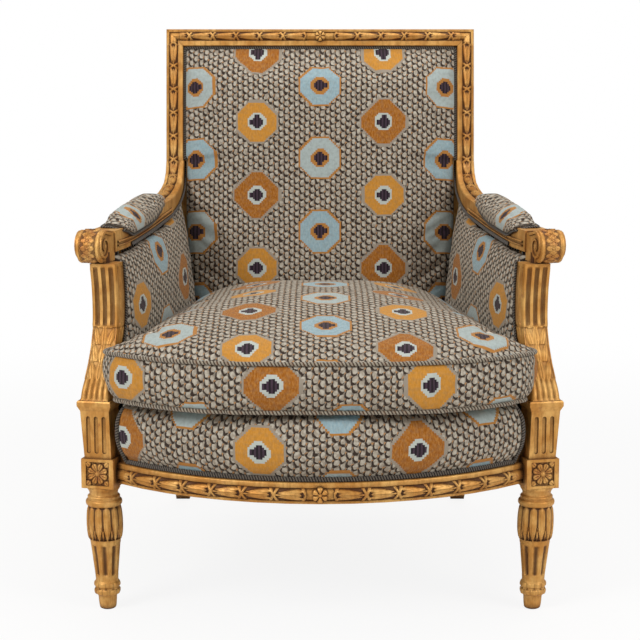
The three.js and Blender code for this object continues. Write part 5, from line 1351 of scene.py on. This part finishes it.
# tight outside cloths keep the solid's form
for node, lay in (("outside_back_panel", lambda p, centre: (p.x + backLook["patternX"], p.z * 1.01)),
                  ("outside_arm_panel_right", sideLay), ("outside_arm_panel_left", sideLay)):
    form = cadShell(node)
    bmesh.ops.subdivide_edges(form, edges=form.edges, cuts=2, use_grid_fill=True)
    if "arm" in node:
        reachPost(form, node.split("_")[-1])
    panel = keep(node + "_cloth", form, "upholstery", angle=50)
    layCloth(panel, lay)
    softFor(panel, node)


print("stage: cords and braids")


# a cord along points, turned to face outs; a groove down its face makes it a double braid
def cordAlong(name, points, outs, look, finish, loop=False, body="frame"):
    line = Line(points, closed=loop, fine=6)
    outward = Line(outs, closed=loop, fine=6)
    form = gridForm(max(12, int(line.length / look["step"])), look["sides"])
    uv = form.loops.layers.uv.new("cord")
    for face in form.faces:
        for corner in face.loops:
            corner[uv].uv = ((corner.vert.co.x + 0.5) * line.length, corner.vert.co.y + 0.5)
    for v in form.verts:
        share, around = v.co.x + 0.5, (v.co.y + 0.5) * 2 * pi
        at = line.at(share)
        if loop:
            ahead = (line.at((share + 0.002) % 1) - line.at((share - 0.002) % 1)).normalized()
        else:
            ahead = line.along(share)
        out = outward.at(share)
        out = (out - ahead * out.dot(ahead)).normalized()
        beside = ahead.cross(out)
        wide, deep = look["wide"] / 2, look["deep"] / 2
        pinch = 1 - look.get("groove", 0) * math.exp(-(cos(around) / 0.22) ** 2) * (1 if sin(around) > 0 else 0)
        v.co = at + beside * (cos(around) * wide) + out * (sin(around) * deep * pinch)
    bmesh.ops.remove_doubles(form, verts=form.verts, dist=2e-5)
    return keep(name, closed(form), finish, body=body, angle=180)


weltLook = {"step": 0.0025, "sides": 12, "wide": 0.0066, "deep": 0.0066, "points": 200, "proud": 0.0012}
braidLook = {"step": 0.003, "sides": 16, "wide": 0.0064, "deep": 0.0034, "groove": 0.45}
coverTree = BVHTree.FromBMesh(formOf(cushion.data))

for name, high, inside, node in (("upper_welt", cushionLook["top"], -0.003, "cushion_welt_top"),
                                 ("lower_welt", cushionLook["low"] + 0.003, 0.002, "cushion_welt_bottom")):
    points, outs = [], []
    for k in range(weltLook["points"]):
        turn = 2 * pi * k / weltLook["points"]
        way = Vector((sin(turn), -cos(turn), 0))
        hit, normal, _, _ = coverTree.ray_cast(Vector((0, -0.06, high + inside)) + way * 0.7, -way)
        level = Vector((normal.x, normal.y, 0)).normalized()
        points.append(Vector((hit.x, hit.y, high)) + level * weltLook["proud"])
        outs.append(level)
    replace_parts(cordAlong(name, points, outs, weltLook, "piping", loop=True, body="cushion"), node)

# back braid: up one side, across the head and down the other
backBraid = {"inside": 0.0028, "proud": 0.0035}
braidIn = chair["halfWidth"] - chair["moulding"] - backBraid["inside"]
braidUp = backUp - chair["moulding"] - backBraid["inside"]
braidDeep = chair["rebateDepth"] - backBraid["proud"]
corners = [(-braidIn, backJoint + 0.001)] + [(-braidIn, mix(backJoint, braidUp, k / 8)) for k in range(1, 8)]
corners += [(-braidIn, braidUp - 0.006), (-braidIn + 0.0015, braidUp - 0.0015), (-braidIn + 0.006, braidUp)]
corners += [(x * 0.06, braidUp) for x in range(-3, 4)]
corners += [(-x, up) for x, up in reversed(corners[:11])]
path = [backPoint(x, braidDeep, up) for x, up in corners]
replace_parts(cordAlong("back_braid", path, [backFront.copy() for _ in path], braidLook, "braid"), "back_gimp")

# deck braid: down one side of the band, along the rail and up the other
deckBraid = {"wide": 0.0072, "proud": 0.0018, "foot": 0.003, "along": 0.73}
sides = []
for k in range(9):
    z = mix(deckLook["low"] + deckBraid["foot"], deckLook["top"], k / 8 * 0.9)
    up = max(0.0, (z - deckLook["low"]) / (deckLook["top"] - deckLook["low"]))
    into = deckLook["ledge"] - deckLook["forward"] * between(deckLook["up"], deckLook["out"], up) - deckBraid["proud"]
    sides.append((deckLook["end"] - 0.004, into, z))
line = [(-t, i, z) for t, i, z in reversed(sides)]
line += [(mix(-deckBraid["along"], deckBraid["along"], k / 24), deckLook["ledge"] - deckBraid["proud"],
          deckLook["low"] + 0.0034) for k in range(25)]
line += sides
path = [bowPoint(t, i, z) for t, i, z in line]
outs = [Vector((sin(t), -cos(t), 0)) for t, i, z in line]
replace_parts(cordAlong("deck_braid", path, outs, dict(braidLook, wide=deckBraid["wide"]), "braid"), "deck_gimp")

# arm braids under the arm, post braids down the posts, and loops round the armrest pads
armBraid = {"from": 0.015, "to": 0.86, "proud": 0.0021, "up": 0.003}
path, outs = [], []
for k in range(24):
    at, across, up, half, deep = armSection(mix(armBraid["from"], armBraid["to"], k / 23))
    path.append(at - across * (half + armBraid["proud"]) - up * (deep - armBraid["up"]))
    outs.append(-across)
pairFor(cordAlong("arm_braid_right", path, outs, braidLook, "braid"), "arm_gimp")

postBraid = {"from": 0.538, "to": 0.405, "proud": 0.0018, "forward": 0.003}
path = []
for k in range(10):
    z = mix(postBraid["from"], postBraid["to"], k / 9)
    out, behind, wide, deep = postSection(z)
    path.append(legPoint(out - wide / 2 - postBraid["proud"], behind + deep / 2 - postBraid["forward"], z))
pairFor(cordAlong("post_braid_right", path, [-legAcross for _ in path], braidLook, "braid"), "post_gimp")

restBraid = {"points": 64, "reach": 0.52, "inside": 0.002, "high": 0.002, "proud": 0.0022, "below": 0.0012}
path, outs = [], []
for k in range(restBraid["points"]):
    turn = 2 * pi * k / restBraid["points"]
    side = squared(sin(turn), 0.3)
    share = 0.5 + restBraid["reach"] * squared(cos(turn), 0.7)
    at, across, up, half, deep = armSection(mix(armLook["padFrom"], armLook["padTo"], share))
    drop = restDrop(min(1, max(0, share)))
    over = smooth(0.2, 0.85, -side) * min(1, drop / 0.004)
    top = across * ((half - restBraid["inside"]) * side) + up * (deep + restBraid["high"])
    face = up * (deep - drop - restBraid["below"]) - across * (half + restBraid["proud"])
    path.append(at + top.lerp(face, over))
    outs.append((up * (1 - over) - across * over).normalized())
restCord = cordAlong("armrest_braid_right", path, outs, dict(braidLook, wide=0.0056), "braid", loop=True)
pairFor(restCord, "armrest_gimp")


print("stage: floor and light")
studio = {"floor": "#ebe9e6", "radius": 30, "key": 58, "fill": 44, "top": 22, "air": 0.4, "shadow": 0.12}
form = bmesh.new()
bmesh.ops.create_circle(form, cap_ends=True, segments=64, radius=studio["radius"])
floor = linked("floor", form)
f = Recipe("paleFloor")
place = f.node("ShaderNodeTexCoord", None, None, 3)
far = f.node("ShaderNodeVectorMath", {"operation": "LENGTH"}, {0: place}, 1)
seen = f.node("ShaderNodeLightPath", None, None, 0)
paint = f.node("ShaderNodeBsdfDiffuse", None, {"Color": tone(studio["floor"])})
white = f.node("ShaderNodeEmission", None, {"Color": (1, 1, 1, 1), "Strength": 1.0})
share = seen * (1 - studio["shadow"] + far.step(0.7, 2.6) * studio["shadow"])
both = f.node("ShaderNodeMixShader", None, {0: share, 1: paint, 2: white})
f.node("ShaderNodeOutputMaterial", None, {"Surface": both})
floor.data.materials.append(f.block)

air = Recipe("studioAir", world=True)
seen = air.node("ShaderNodeLightPath")
soft = air.node("ShaderNodeBackground", None, {"Color": (1, 1, 1, 1), "Strength": studio["air"]})
clear = air.node("ShaderNodeBackground", None, {"Color": (1, 1, 1, 1), "Strength": 1.0})
view = air.node("ShaderNodeMixShader", None, {0: seen, 1: soft, 2: clear})
air.node("ShaderNodeOutputWorld", None, {"Surface": view})
scene.world = air.block


def softLamp(name, place, aim, size, watts):
    lamp = bpy.data.lights.new(name, "AREA")
    lamp.energy = watts
    lamp.size = size
    thing = bpy.data.objects.new(name, lamp)
    thing.location = place
    thing.rotation_euler = (Vector(aim) - Vector(place)).to_track_quat("-Z", "Y").to_euler()
    scene.collection.objects.link(thing)


softLamp("keyLamp", (-2.1, -2.0, 2.3), (0, 0, 0.45), 1.4, studio["key"])
softLamp("fillLamp", (2.3, -1.9, 2.1), (0, 0, 0.45), 1.6, studio["fill"])
softLamp("topLamp", (0.2, 0.3, 2.8), (0, 0, 0.4), 1.6, studio["top"])
